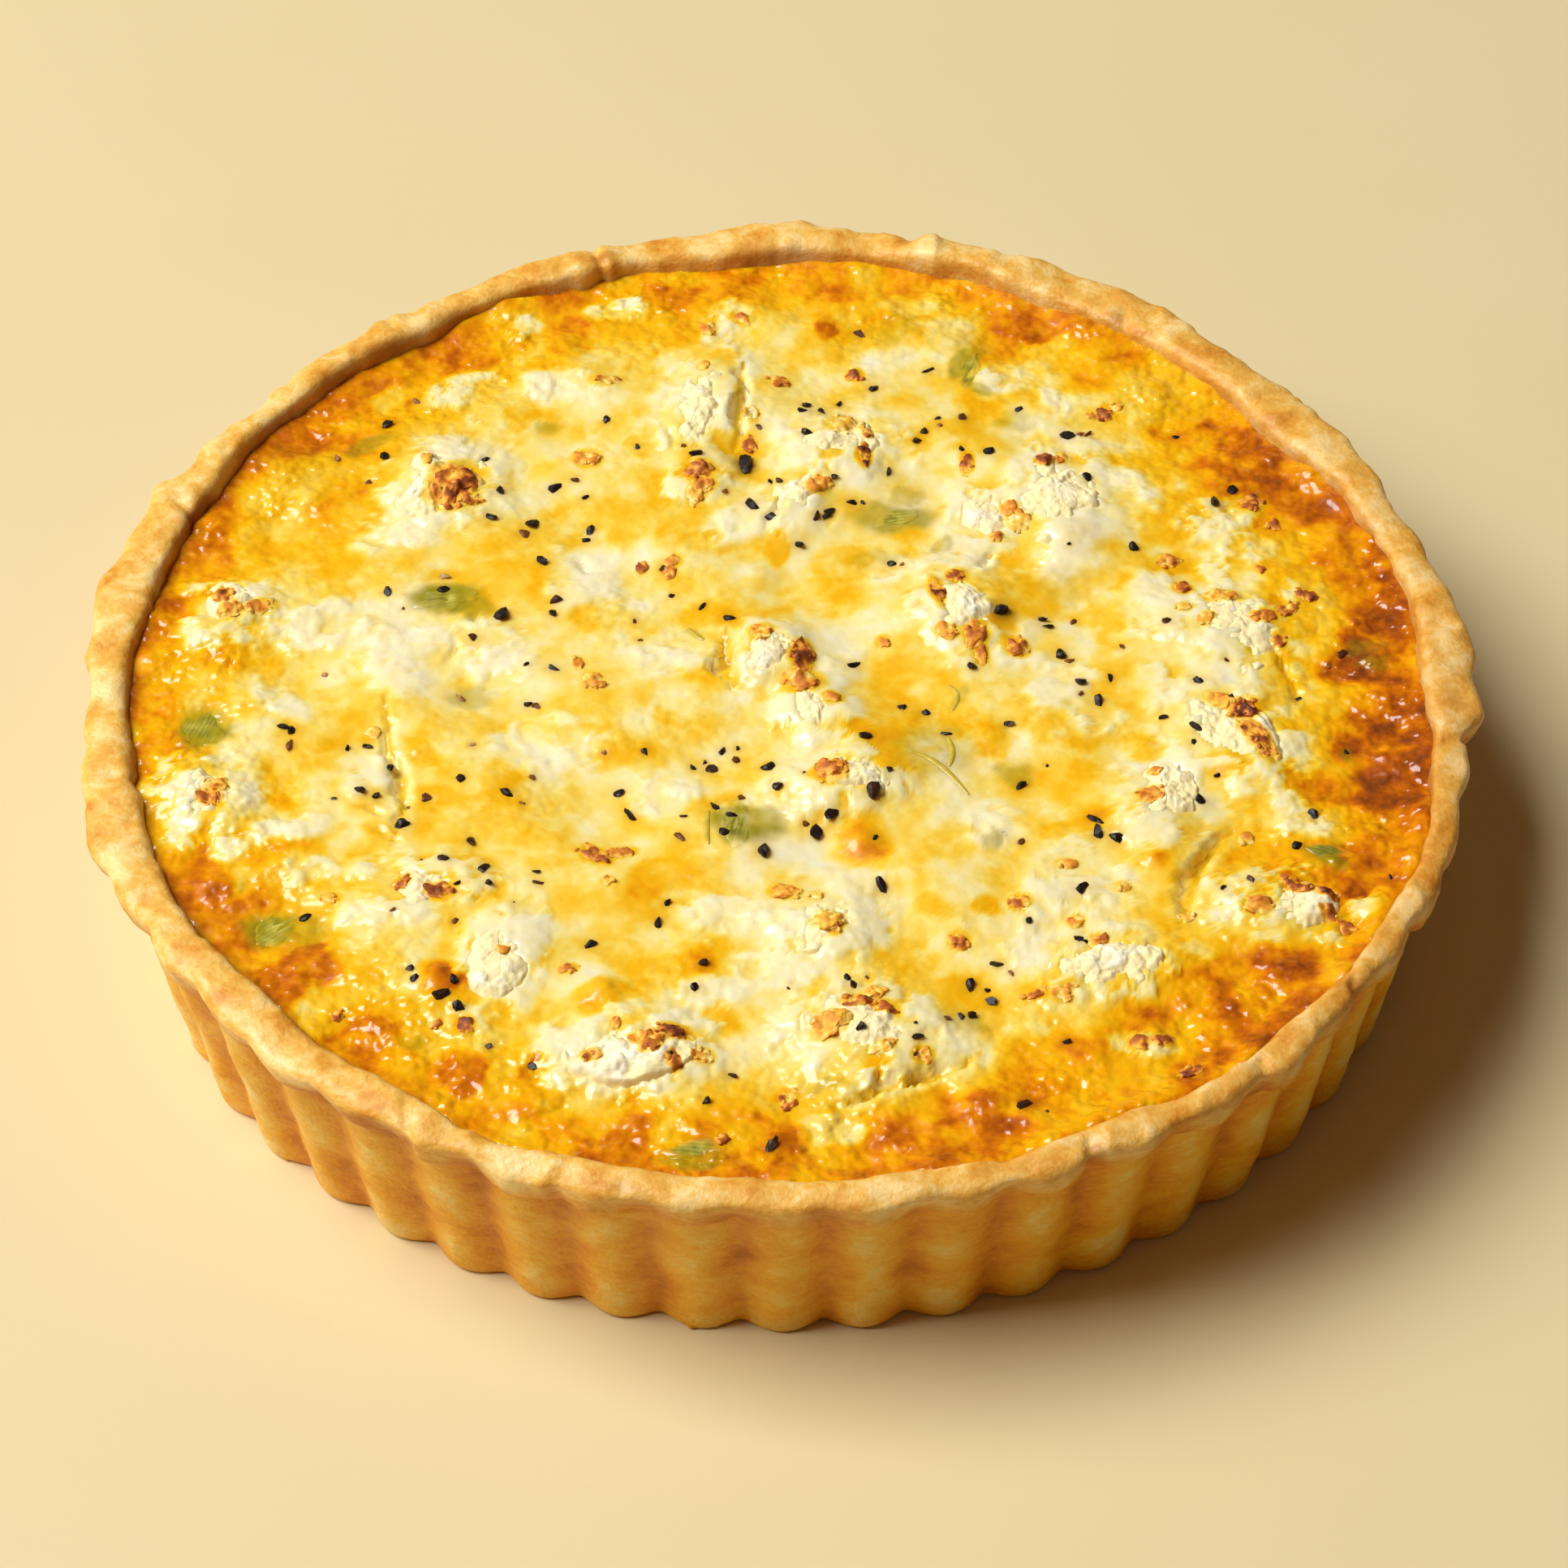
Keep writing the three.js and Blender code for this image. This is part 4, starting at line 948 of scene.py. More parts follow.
GREENS = [Patch(*row) for row in (
    (-54, 18, 6.6, 4.6, 0.85, 5), (-48.5, 15, 2.6, 4, 0.6), (-91, -11.5, 5, 6, 0.95),
    (-77, -53, 5.4, 4, 0.9, -30), (-71, -54, 3.6, 3, 0.45, 30), (-5, -32.5, 6.4, 5, 0.75),
    (19, 37, 8, 4, 0.6, 5), (22, 42, 3, 1.6, 0.4, 10), (32, 76, 2.6, 5, 0.7, -20),
    (34, 69.5, 3, 1.4, 0.6, -20), (-12.5, -98, 6, 2.4, 0.6, -8), (85, -40, 4, 2, 0.7, -35),
    (24, -17, 8, 7, 0.32), (36.5, -21, 3.4, 3, 0.5), (32, -36, 1.6, 3.2, 0.5),
    (-69, 55, 5.4, 2.4, 0.55, 40), (-39, 59.5, 2.6, 2, 0.5), (-49.5, -4, 4, 3, 0.4),
    (16, 27, 5, 2, 0.3, 15), (27, 30, 1.4, 2, 0.5), (21, 85, 4, 5, 0.35), (41, 60, 4, 3, 0.4),
    (-12.5, 10, 3, 1, 0.4, -40), (94.5, 6, 3, 2, 0.3), (95.5, 2, 2.4, 2, 0.4), (-54, -76.5, 3, 2, 0.4),
    (28, -5, 1.2, 4, 0.35, -20), (-80, 50, 8, 6, 0.16), (46, 20, 5, 4, 0.22), (50, 30, 5, 5, 0.16),
    (6, -85.5, 4, 1.6, 0.4), (28, -73, 4, 3, 0.35), (33, 80, 4, 4, 0.25), (89, -18.5, 1.4, 2, 0.5))]

# Blisters of the skin: x, y, radius and height in mm.
BLISTERS = ((-69, 38.5, 4.2, 0.7), (-3, 23, 4.2, 0.9), (-26.5, -66.5, 3.4, 1.3), (12.5, -36.5, 4, 0.9),
             (57.5, -16.5, 3, 0.8), (57.5, -41, 2.6, 0.8), (30, -88, 3.6, 0.8), (95.4, 2, 2.2, 0.6),
             (92, 32, 1.6, 0.6), (-50.5, -64.5, 4.4, 0.8), (77, -64, 6, 1), (7.5, 85, 3.6, 0.6),
             (-87, -44, 4, 0.8), (33, -14.5, 3.4, 0.6), (52, 86, 5, 0.8), (66, 77, 4, 0.8),
             (-72, -63, 4, 0.8), (97, -18, 5, 0.9), (91, 29, 4, 0.8), (-56.8, -16.3, 1.6, 0.4),
             (40, -47, 6, 0.7), (-65, -25, 5, 0.7), (10, -47, 7, 0.6), (-33, 75, 6, 0.6))

TOASTS = [Toast(*row) for row in (
    (-54, 43.5, 4.4, 3, 0.85, 60), (-51.5, 40.3, 1.6, 1, 0.62), (-58.6, 48.5, 0.7, 1.6, 0.42),
    (-32, 51.5, 2.2, 1.7, 0.55), (-13.3, 46.4, 1.9, 1.7, 0.85, 30), (-12.4, 43.6, 1.6, 1.2, 0.58, -20),
    (-14, 41.2, 1.1, 1.9, 0.42), (-5, 54.5, 0.9, 1.6, 0.72, 10), (-4.7, 61.5, 1.2, 1.2, 0.42),
    (0.2, 70.8, 1.7, 1.1, 0.68, -30), (-12.8, 73.6, 0.8, 1.3, 0.48), (-29.4, 71, 2.1, 1, 0.5),
    (13.3, 72.6, 1.2, 1.1, 0.78), (14.5, 50.4, 0.8, 1.9, 0.85), (15, 56, 0.8, 1.4, 0.66, 20),
    (11, 58.4, 2.4, 2.2, 0.4), (31.8, 49.2, 0.8, 1.9, 0.8), (6.8, 42.8, 2, 1.8, 0.5, 30),
    (-12, 85, 1, 1.6, 0.5, 30), (-6.4, 87.4, 1.4, 0.8, 0.6, -40), (44.7, 49.2, 1, 1.4, 0.8),
    (47.6, 50.4, 0.6, 1.2, 0.66), (55.7, 62.4, 1, 1.4, 0.78), (57.5, 64.2, 0.9, 0.8, 0.6),
    (53.2, 62, 0.8, 0.5, 0.55), (78.4, 40, 2, 1.3, 0.85), (82, 35.3, 0.8, 1, 0.78),
    (38.3, 37.6, 1, 1.1, 0.62), (39.8, 34.5, 1.7, 1.5, 0.45), (36, 31, 0.8, 0.8, 0.6),
    (-90.3, 17.5, 1.5, 1.5, 0.86), (-88.6, 14, 1.4, 1.7, 0.58, -40), (-83.7, 14.8, 1.8, 1.2, 0.52, 20),
    (-88.3, -27.6, 1.6, 1.2, 0.74, -20), (-87.4, -25, 1.4, 1.2, 0.5), (-32, 2.9, 0.6, 1, 0.58),
    (-29.5, -1.6, 1.5, 1.6, 0.46), (-3, 7.4, 1.5, 2, 0.55), (3.7, 2.6, 1.4, 3, 0.86, -8),
    (3.8, -3, 2.6, 1.9, 0.62), (3.6, -4, 0.8, 1.3, 0.85), (8.6, -6.8, 1.2, 1, 0.62),
    (29, 20.8, 1.5, 1.3, 0.82, 30), (25.9, 17.2, 0.8, 2.8, 0.88, 12), (31.8, 7.6, 1.3, 2.4, 0.66, -10),
    (32.6, 3.6, 0.7, 1.4, 0.74), (38.4, 5.6, 1.7, 1.7, 0.7), (17, 7.2, 0.6, 0.9, 0.58, 30),
    (27.3, 8, 1.6, 1.1, 0.44, -20), (8.2, -23.8, 2.2, 1.9, 0.74), (-17.3, 26.1, 0.9, 0.9, 0.62),
    (-17.9, 23.7, 0.8, 0.9, 0.56), (-22.2, 25, 0.6, 0.9, 0.74), (73.6, -10, 2.1, 2, 0.98),
    (75.2, -16.6, 1.5, 3.9, 0.88, 28), (70, -7.6, 2.4, 1.1, 0.52, -30), (86, 17, 1.6, 1.4, 0.82),
    (82.6, 13.9, 1.9, 0.9, 0.66, 40), (78.2, 11.6, 1.7, 1.1, 0.7, 10), (80.6, 6.5, 0.9, 1, 0.72),
    (66, 19.4, 1.1, 1.3, 0.72), (65.6, 13.6, 1, 0.8, 0.46), (72, 16.4, 2.3, 1.2, 0.5, -10),
    (69.2, 10.6, 0.8, 1.7, 0.42, -30), (79, 24, 0.6, 0.8, 0.72), (64, 26.4, 1.6, 1, 0.6),
    (58.6, -22.6, 0.9, 0.6, 0.56), (57.3, -28, 1.7, 1.4, 0.6, 10), (72, -35.8, 1.2, 1, 0.52),
    (-57.4, -45, 1.1, 1.2, 0.72, -30), (-51.7, -47, 1.9, 1.3, 0.8, -20), (-68.6, -47.5, 1, 0.8, 0.72),
    (-41.6, -59.5, 0.8, 0.6, 0.55), (-31.8, -62, 1.3, 0.6, 0.68, 10), (-46.5, -73.6, 1.2, 1.2, 0.86),
    (-51, -72.6, 0.7, 0.6, 0.62), (-66, -70.8, 0.9, 0.8, 0.74), (-28.6, -38.8, 2.4, 1.2, 0.78, -40),
    (-24.4, -38.3, 1.8, 0.8, 0.6, 10), (-26.4, -45, 0.7, 0.7, 0.55), (0.9, -47, 2.1, 1.2, 0.58, -10),
    (5.4, -48, 1, 0.9, 0.44), (8.3, -55.6, 0.8, 1.1, 0.72), (7.4, -54.4, 2, 1.9, 0.4),
    (27, -57, 1.5, 1.3, 0.64, -20), (14.4, -68.4, 1.4, 1, 0.42, 30), (11.4, -70.4, 1.9, 1, 0.72),
    (15.6, -71.6, 1.8, 0.9, 0.74, -20), (7.6, -74.9, 2.4, 2, 0.5, 30), (15, -79, 1.8, 0.9, 0.46, 30),
    (21, -80, 0.9, 1.1, 0.68, 20), (-16.2, -76.2, 2.5, 1.2, 0.9), (-18.8, -79, 1.6, 1.1, 0.64, 40),
    (-15.6, -81.4, 0.9, 1.2, 0.8), (-20.6, -77.6, 1.6, 1, 0.5), (-27.8, -80.7, 1.2, 0.9, 0.74),
    (-11.4, -80, 1.4, 0.9, 0.52), (1.2, -86.9, 1.3, 1.5, 0.78), (-24.2, -74.2, 0.5, 0.8, 0.58),
    (-8.4, -94.9, 0.9, 0.6, 0.72, 10), (36.3, -49.2, 1.3, 1.1, 0.68), (44.3, -41.2, 1.2, 0.8, 0.46),
    (45, -53.3, 1.1, 1, 0.52), (47.9, -57.7, 1.1, 0.9, 0.72), (79.2, -47.2, 2.2, 1.2, 0.86, -5),
    (83.2, -48.2, 1.5, 1, 0.84, -10), (77.2, -45.4, 0.7, 0.7, 0.7), (83.2, -52.2, 1.2, 0.9, 0.76),
    (85.6, -54, 1.3, 0.9, 0.74, -30), (72.4, -51.4, 2, 1.3, 0.54), (53, -77, 1.1, 1, 0.72),
    (56.8, -76.2, 1.5, 1.1, 0.78, 10), (60, -82.8, 1.5, 0.9, 0.84, 30), (38, -68, 1.5, 0.8, 0.7, 30),
    (42, -68.2, 1.5, 0.9, 0.46, -20), (43.5, -66.6, 0.8, 0.6, 0.56), (52.6, -46, 0.8, 0.7, 0.44),
    (61.8, -52.4, 1, 0.7, 0.4), (-64, -12, 0.8, 0.8, 0.36))]

GRAINS = [Grain(*row) for row in (
    (-66, 61, 2), (-65.7, 51.5, 1.9), (-74, 51.4, 1.5, 0.6), (-61.7, 67, 1.5, 0.7), (-68.6, 46, 1, 0.6),
    (-49.3, 51, 1.4), (-46.1, 42.8, 1.8), (-47.9, 37, 1.8), (-40.4, 36.1, 2, 0.1), (-42.1, 33.5, 1.8, 0.5),
    (-37.6, 44.6, 2.3), (-34.2, 46.1, 1.6, 0.4), (-32.1, 41.9, 1.7), (-31, 34.5, 2.1), (-31.3, 32.3, 1.8),
    (-29, 61.3, 1.7), (-23.6, 54, 1.6), (-13.4, 50.9, 2.3), (-5.5, 49.5, 3.2), (-3.4, 58.7, 1.6, 0.4),
    (-15.8, 53.6, 1, 0.6), (-4.3, 39.4, 2.6), (-1, 36.6, 1.8), (-1.3, 44.7, 1.3), (0.5, 44.5, 1.4, 0.3),
    (9.3, 44.7, 1.5), (12.2, 39.9, 2.2), (14.2, 39.8, 1), (8.5, 37.6, 1.9), (7.9, 36.5, 1.5),
    (6.3, 36.1, 1.6, 0.4), (3.2, 30.3, 2.1), (4.7, 64.2, 1.9), (4.6, 62.4, 1.4), (7.4, 62.8, 1.7),
    (10.5, 64.8, 1.7), (4.8, 55.2, 1.7), (14, 84.1, 2.1, 0.4), (16.2, 69.2, 2.2), (25.8, 73.9, 1.6),
    (31.5, 61.6, 1.8, 0.4), (27.2, 61.3, 1.2), (27.3, 59.3, 1.1, 0.6), (24.8, 57.5, 1.5),
    (23.3, 55.5, 1.6, 0.1), (18.5, 47.5, 1.9), (35.1, 51.9, 1.9), (30.8, 52.8, 1), (-8.7, 42.5, 1.3, 0.5),
    (41, 63.6, 1.5), (48.8, 56.2, 2.4), (51, 57, 1.5, 0.6), (52.3, 57.2, 1.2, 0.5), (67.5, 57.1, 1.3),
    (51.8, 44.9, 1.6), (75.4, 42.4, 1.9), (72.5, 39.5, 2, 0.1), (-54.5, 19.8, 1.8), (-54.5, 23.4, 1.6, 0.8),
    (-63.9, 19.5, 1.2), (-61, 15.8, 0.8, 0.6), (-44.5, 14, 2.2), (-38.8, 26.3, 2), (-36.1, 17.1, 2.1, 0.3),
    (-36.5, 13.9, 1.9), (-36.2, 1.7, 2.1, 0.1), (-40.3, 2.4, 1), (-49.2, 8.4, 1.8, 0.4),
    (-50.6, -4.4, 1.6, 0.7), (-39.9, -5.9, 2), (-38.5, -6.3, 1.3, 0.5), (-78.3, -10.8, 1.4),
    (-77.2, -12.1, 2), (-77, -15, 1.6, 0.6), (-68, -15.4, 1.4), (-65.2, -14.8, 1.4), (-61, -20, 1.6),
    (-49.5, -22.7, 1.5), (-42.3, -25.6, 2), (-65.1, -25.7, 1.6, 0.2), (-63.1, -26.6, 1.4, 0.1),
    (-69.3, -26.8, 1.1), (-54.9, -26.8, 1.6, 0.5), (-57.7, -28.2, 1.4, 0.5), (-58.4, -32.4, 2.5),
    (-47.5, -36.1, 1.6, 0.1), (-72.8, 1, 1.2, 0.8), (-38.5, -22.4, 1.5, 0.6), (-40, -28, 1, 0.6),
    (-48.2, -15.6, 1.2, 0.8), (18.6, 25.8, 2.1), (20.3, 25.2, 0.9, 0.5), (-17.6, 18.4, 1.5),
    (-12.4, 15.6, 1.3), (-8, 12.8, 2.1), (-19, 24.8, 1.4, 0.4), (-22.4, 8.3, 0.8, 0.6),
    (-23.3, 12.6, 1.1, 0.6), (12.2, 2.5, 1.7), (35.6, 13, 3.2), (31.3, 1.3, 1.7), (19.6, -6.9, 1.4),
    (23.3, -8.2, 2.1), (26.5, -13.1, 1.8, 0.1), (14, -14.6, 2), (36.2, -11.4, 1.9), (17.2, -23, 1.3),
    (14.4, -27.5, 2.1, 0.3), (-8.8, -16.2, 1.6), (-6.5, -16, 1.1), (-11.6, -18.5, 1.2), (-13.6, -20, 1.2),
    (-10.9, -20.2, 1.8, 0.2), (-6.6, -18.5, 1.4, 0.5), (-1.4, -20.2, 1.9), (0, -25.5, 1.6, 0.2),
    (-21, -16.9, 1.5, 0.2), (-27.4, -17.2, 1.2, 0.7), (-25.1, -25, 1.7), (-23.2, -29.7, 2),
    (-10, -28.9, 1.6), (-5.9, -27, 1.3, 0.5), (-14.8, -31.1, 0.9), (-15.2, -35.7, 1.8, 0.5),
    (-7.3, -31.4, 1.2), (-8.2, -34.8, 1.8), (5.6, -34.2, 2.4), (8.2, -31.6, 2), (4, -32.8, 1.2, 0.5),
    (14.8, -35.9, 2), (37.6, -24.2, 1.9), (3.9, -23.6, 1, 0.5), (58.7, 29, 1.6), (47.8, 28.3, 0.7),
    (42.8, 12.5, 2, 0.2), (43.6, 11, 1.6), (48, 12.5, 1, 0.5), (45.6, 4.8, 2.2), (46.6, 3, 1.6, 0.6),
    (55.2, 5.7, 1.1, 0.5), (62.7, 10.2, 1.8, 0.4), (48, -2.3, 1.7), (53, -1.4, 1.8), (51, -6.3, 2),
    (48, -4.8, 1, 0.5), (67, -3, 1.8), (71.6, 1.6, 0.9, 0.4), (71.5, -7.3, 1.8, 0.1), (65.9, -14, 1.8, 0.2),
    (65, -16.5, 1.2), (60.8, -10.5, 1.2), (68.5, -23.4, 1.2), (65.1, -28.7, 2.2), (42, -20, 0.7),
    (49, -32.3, 2, 0.2), (49, -35.2, 2.1, 0.1), (51.8, -36.3, 2.4), (83, -31.5, 1.6), (80, -37.7, 1.9),
    (89.3, -17.2, 1.6), (90.5, 4.5, 1.8, 0.3), (88, 1.7, 1.4, 0.6), (82.7, -5.6, 1.2),
    (-51.3, -40.4, 1.6, 0.2), (-54.8, -40.6, 0.7), (-45.3, -42.2, 1.9), (-44.5, -45.5, 1.4),
    (-37.4, -42.7, 1.5), (-37, -45, 1.5, 0.3), (-48.8, -45.4, 1.2, 0.2), (-40.3, -49.6, 0.8, 0.4),
    (-49.2, -53, 1.3, 0.5), (-58.7, -51.1, 1.2, 0.5), (-71.9, -50.5, 1.7), (-54.8, -64.6, 1.5),
    (-55.7, -62.4, 1.4, 0.2), (-48.8, -64.8, 1.5), (-50.8, -67.6, 1.9, 0.2), (-47.5, -70, 2),
    (-43, -77.3, 1.2), (-36.6, -81.3, 1.6), (-28.4, -57, 2), (-17.1, -49.2, 1.4), (-18.3, -52.4, 1.7),
    (-11.3, -61.4, 1.6), (-12.5, -66.4, 1.6), (-2.8, -38.8, 2.3), (15.8, -46.6, 2.3), (10.1, -65, 1.1),
    (13, -64.7, 1, 0.5), (11.2, -66.8, 1.8, 0.1), (1.2, -66.5, 0.8, 0.5), (28.5, -65.7, 2.1),
    (30.8, -66.3, 1), (31.5, -69, 1.6), (27, -71.9, 1.4), (28.4, -71.8, 1.9), (24.6, -72.6, 1, 0.5),
    (32.7, -61.6, 1.6, 0.2), (34.6, -63.3, 1.1, 0.6), (12.1, -75.9, 1.9, 0.1), (20, -76.9, 1.6),
    (20.2, -74.5, 0.8), (20, -80, 1.4), (-7.2, -82.7, 1.4, 0.3), (-10.8, -88.2, 1.6),
    (-1.2, -96.6, 2.1, 0.2), (-16, -80.2, 1.2), (36, -88.6, 2.3, 0.2), (37.7, -53, 1.3),
    (37.3, -36.5, 1.4, 0.5), (46.1, -47, 2.3), (45.4, -57.2, 2), (67.7, -47.4, 1.1),
    (71.9, -46.2, 1.3, 0.4), (93.5, -44.5, 1), (42.3, -76.7, 1.5), (38.9, -90, 0.8))]


# -------------------------------- the pastry case


@dataclass
class PastryCase:
    """The baked case: a flat base, a fluted wall that leans out, and a rim rolled over by hand.

    The rim's section starts rim_lead below the wall's top and ends rim_tail below the custard's line.
    """

    rim_radius: float = 110.4
    height: float = 40.0
    rim_width: float = 7.6
    crest_drop: float = 0.4
    outer_ripples: tuple = ((0.35, 13, 40), (0.25, 29, 10))
    inner_ripples: tuple = ((0.4, 11, 120), (0.35, 23, 60))
    crest_ripples: tuple = ((0.3, 5, 70), (0.25, 17, 0))
    base_radius: float = 102.7
    wall_top_radius: float = 107.4
    wall_top: float = 32.5
    flutes: int = 51
    flute_start: float = 270.1
    flute_depth: float = 2.2
    flute_fade: float = 0.75
    flute_softness: float = 0.22
    base_thickness: float = 4.6
    floor_radius: float = 96.4
    foot_round: float = 1.0
    custard_line: float = 36.5
    rim_lead: float = 2.0
    rim_tail: float = 2.5
    inside_heights: tuple[float, float] = (33.0, 20.0)
    columns: int = 1020
    wall_rows: int = 38
    rim_steps: int = 5
    seed: int = 11

    def swell(self, degrees: Array, part: str) -> Array:
        """Sum of every swell's out, wide or wall, each a bell over its spread."""
        return sum(getattr(s, part) * bell(turn_from(degrees, s.at), s.spread) for s in SWELLS)

    def lap(self, degrees: Array, part: str) -> Array:
        """Sum of every lap's out, up or inward."""
        return sum(getattr(lap, part) * lap.share(degrees) for lap in LAPS)

    def rim_outer(self, degrees: Array) -> Array:
        """Outer radius of the rim: a circle with slow ripples, laps and swells."""
        moved = self.lap(degrees, "out") + self.swell(degrees, "out")
        return self.rim_radius + ripples(degrees, self.outer_ripples) + moved

    def rim_inner(self, degrees: Array) -> Array:
        """Inner radius of the rim, where the custard meets it."""
        narrowing = self.lap(degrees, "inward") + self.swell(degrees, "wide")
        return self.rim_radius - self.rim_width - ripples(degrees, self.inner_ripples) - narrowing

    def rim_crest(self, degrees: Array) -> Array:
        """Height of the rim's crest: level, with slow ripples and laps."""
        return self.height - self.crest_drop + ripples(degrees, self.crest_ripples) + self.lap(degrees, "up")

    def flute_dip(self, degrees: Array) -> Array:
        """Broad round lobes with narrow grooves: 0 on a lobe's middle and 1 at the bottom of a groove.

        Args:
            degrees: Angles to work it out for.

        Returns:
            Share of the flutes' depth.
        """
        full = math.hypot(1.0, self.flute_softness)
        wave = np.cos(self.flutes * np.radians(turn_from(degrees, self.flute_start)) / 2.0)
        return (full - np.hypot(wave, self.flute_softness)) / (full - self.flute_softness)

    def wall_radius(self, degrees: Array, z: float) -> Array:
        """Radius of the fluted wall at a height: a cone less the flutes, which fade upwards.

        Args:
            degrees: Angles to work it out for.
            z: Height in mm.

        Returns:
            Radius in mm.
        """
        share = z / self.wall_top
        cone = mix(self.base_radius, self.wall_top_radius, share) + self.swell(degrees, "wall")
        return cone - self.flute_depth * mix(1.0, self.flute_fade, share) * self.flute_dip(degrees)

    def inner_radius(self, degrees: Array, z: Array | float) -> Array:
        """Radius of the case's inside at a height, a straight line from the rim to the base."""
        share = (z - self.base_thickness) / (self.custard_line - self.base_thickness)
        return mix(self.floor_radius, self.rim_inner(degrees), share)

    def rim_curve(self, degrees: Array) -> tuple[Array, Array]:
        """Section of the rolled rim at each angle: a smooth curve through its stations.

        Each stretch between two stations is the cubic whose slope at a station is half of the step between
        the stations on either side.

        Args:
            degrees: Angles of the columns.

        Returns:
            Radius and height, one row for each step and one column for each angle.
        """
        outer, inner, crest = self.rim_outer(degrees), self.rim_inner(degrees), self.rim_crest(degrees)
        dip = self.flute_depth * self.flute_dip(degrees)
        starts = (self.wall_top - self.rim_lead, self.wall_top)
        radii = [self.wall_radius(degrees, z) for z in starts]
        heights = [np.full(len(degrees), z) for z in starts]
        for share, drop, fluted in RIM_SECTION:
            radii.append(mix(outer, inner, share) - dip * fluted)
            heights.append(crest - drop)
        for z in (self.custard_line, self.custard_line - self.rim_tail):
            radii.append(self.inner_radius(degrees, z))
            heights.append(np.full(len(degrees), z))
        stations = np.stack([np.stack(radii), np.stack(heights)], axis=-1)
        rows = []
        for i in range(1, len(stations) - 2):
            before, start, end, after = stations[i - 1:i + 3]
            for t in np.arange(self.rim_steps) / self.rim_steps:
                slope_in, slope_out = (end - before) / 2.0, (after - start) / 2.0
                rows.append((2 * t**3 - 3 * t**2 + 1) * start + (t**3 - 2 * t**2 + t) * slope_in
                            + (3 * t**2 - 2 * t**3) * end + (t**3 - t**2) * slope_out)
        rows.append(stations[-2])
        curve = np.stack(rows)
        return curve[..., 0], curve[..., 1]

    def relief(self, points: Array, degrees: Array, share: Array, rim: Array) -> Array:
        """Unevenness of hand-worked dough, in mm outwards.

        It is soft lumps, fine flat streaks on the wall, finger marks and wrinkles on the rim, and the rim's
        folds.

        Args:
            points: Places on the plain surface, rows by columns.
            degrees: Angle of each place.
            share: How far across the rim from outside each place is, below 0 on the wall.
            rim: 0 on the wall and 1 on the rim.

        Returns:
            Outward offset for each place.
        """
        lumps = 0.3 * rough_noise(points, 15.0, self.seed, 2)
        lumps = lumps + 0.16 * rough_noise(points, 5.0, self.seed + 1, 2)
        flat = points * np.array([1.0, 1.0, 1.8])
        streaks = 0.1 * rough_noise(flat, 2.6, self.seed + 2, 2)
        knuckles = 0.4 * rough_noise(points, 8.5, self.seed + 3, 2)
        knuckles = knuckles + 0.16 * rough_noise(points, 1.8, self.seed + 4, 2)
        folded = 0.12 - np.abs(rough_noise(points * np.array([1.0, 1.0, 0.6]), 8.0, self.seed + 5, 3))
        total = lumps + streaks * (1.0 - 0.5 * rim) + (0.4 * knuckles + 0.8 * folded) * rim
        # Folds and nicks, each a bell across its line.
        for fold in CREASES:
            offset = turn_from(degrees, fold.at + fold.lean * (share - 0.5) * self.rim_width)
            across = offset * math.radians(1.0) * self.rim_radius
            begun = ease(fold.start - 0.18, fold.start + 0.08, share)
            ended = ease(fold.end + 0.2, fold.end - 0.1, share)
            total = total + fold.deep * bell(across, fold.wide) * (begun * ended)
        return total

    def rings(self, degrees: Array) -> tuple[Array, Array, int, int]:
        """Rings of the case's skin: under the base, up the wall, over the rim, down inside, floor.

        Args:
            degrees: Angles of the columns.

        Returns:
            Radius and height, one row for each ring, and the numbers of the rim's first ring and of the
            one after its last.
        """
        foot = self.wall_radius(degrees, 0.0) - self.foot_round
        rings = [(foot * 0.4, 0.0), (foot * 0.97, 0.0), (foot, 0.0),
                 (mix(foot, self.wall_radius(degrees, 1.0), 0.68), 0.3)]
        climb = np.linspace(1.0, self.wall_top, self.wall_rows, endpoint=False)
        rings += [(self.wall_radius(degrees, z), z) for z in climb]
        first_rim = len(rings)
        rings += list(zip(*self.rim_curve(degrees)))
        after_rim = len(rings)
        rings += [(self.inner_radius(degrees, z), z) for z in (*self.inside_heights, self.base_thickness)]
        rings.append((np.full(self.columns, self.floor_radius * 0.5), self.base_thickness))
        radius = np.stack([out for out, _ in rings])
        height = np.stack([np.broadcast_to(z, degrees.shape) for _, z in rings])
        return radius, height, first_rim, after_rim

    def browned(self, points: Array, degrees: Array, share: Array, rim: Array) -> Array:
        """How dark the rim is, browning and painted shade together: at its marks, which put painted shade in
        its nicks and on its inner slope, at the edge beside the custard, and more on the right.

        Args:
            points: Places on the skin.
            degrees: Angle of each place.
            share: How far across the rim from outside each place is.
            rim: 0 on the wall and 1 on the rim.

        Returns:
            A value from 0 to 1 for each place.
        """
        brown_and_shade = np.zeros(rim.shape)
        # Stains and painted shade: marks from the table, many in the nicks and on the inner slope.
        for at, spread, place, strength in STAINS_AND_SHADE:
            spot = bell(turn_from(degrees, at), spread) * bell(share - place, 0.16) * rim
            brown_and_shade = np.maximum(brown_and_shade, strength * spot)
        # Browning and painted shade along the edge where the rim meets the custard.
        brown_and_shade = brown_and_shade + 0.5 * ease(0.86, 1.05, share) * rim * (0.5 + 0.5 * soft_noise(points, 6.0, 77))
        brown_and_shade = brown_and_shade + 0.23 * bell(turn_from(degrees, 340.0), 55.0) * rim
        return np.clip(brown_and_shade, 0, 1)

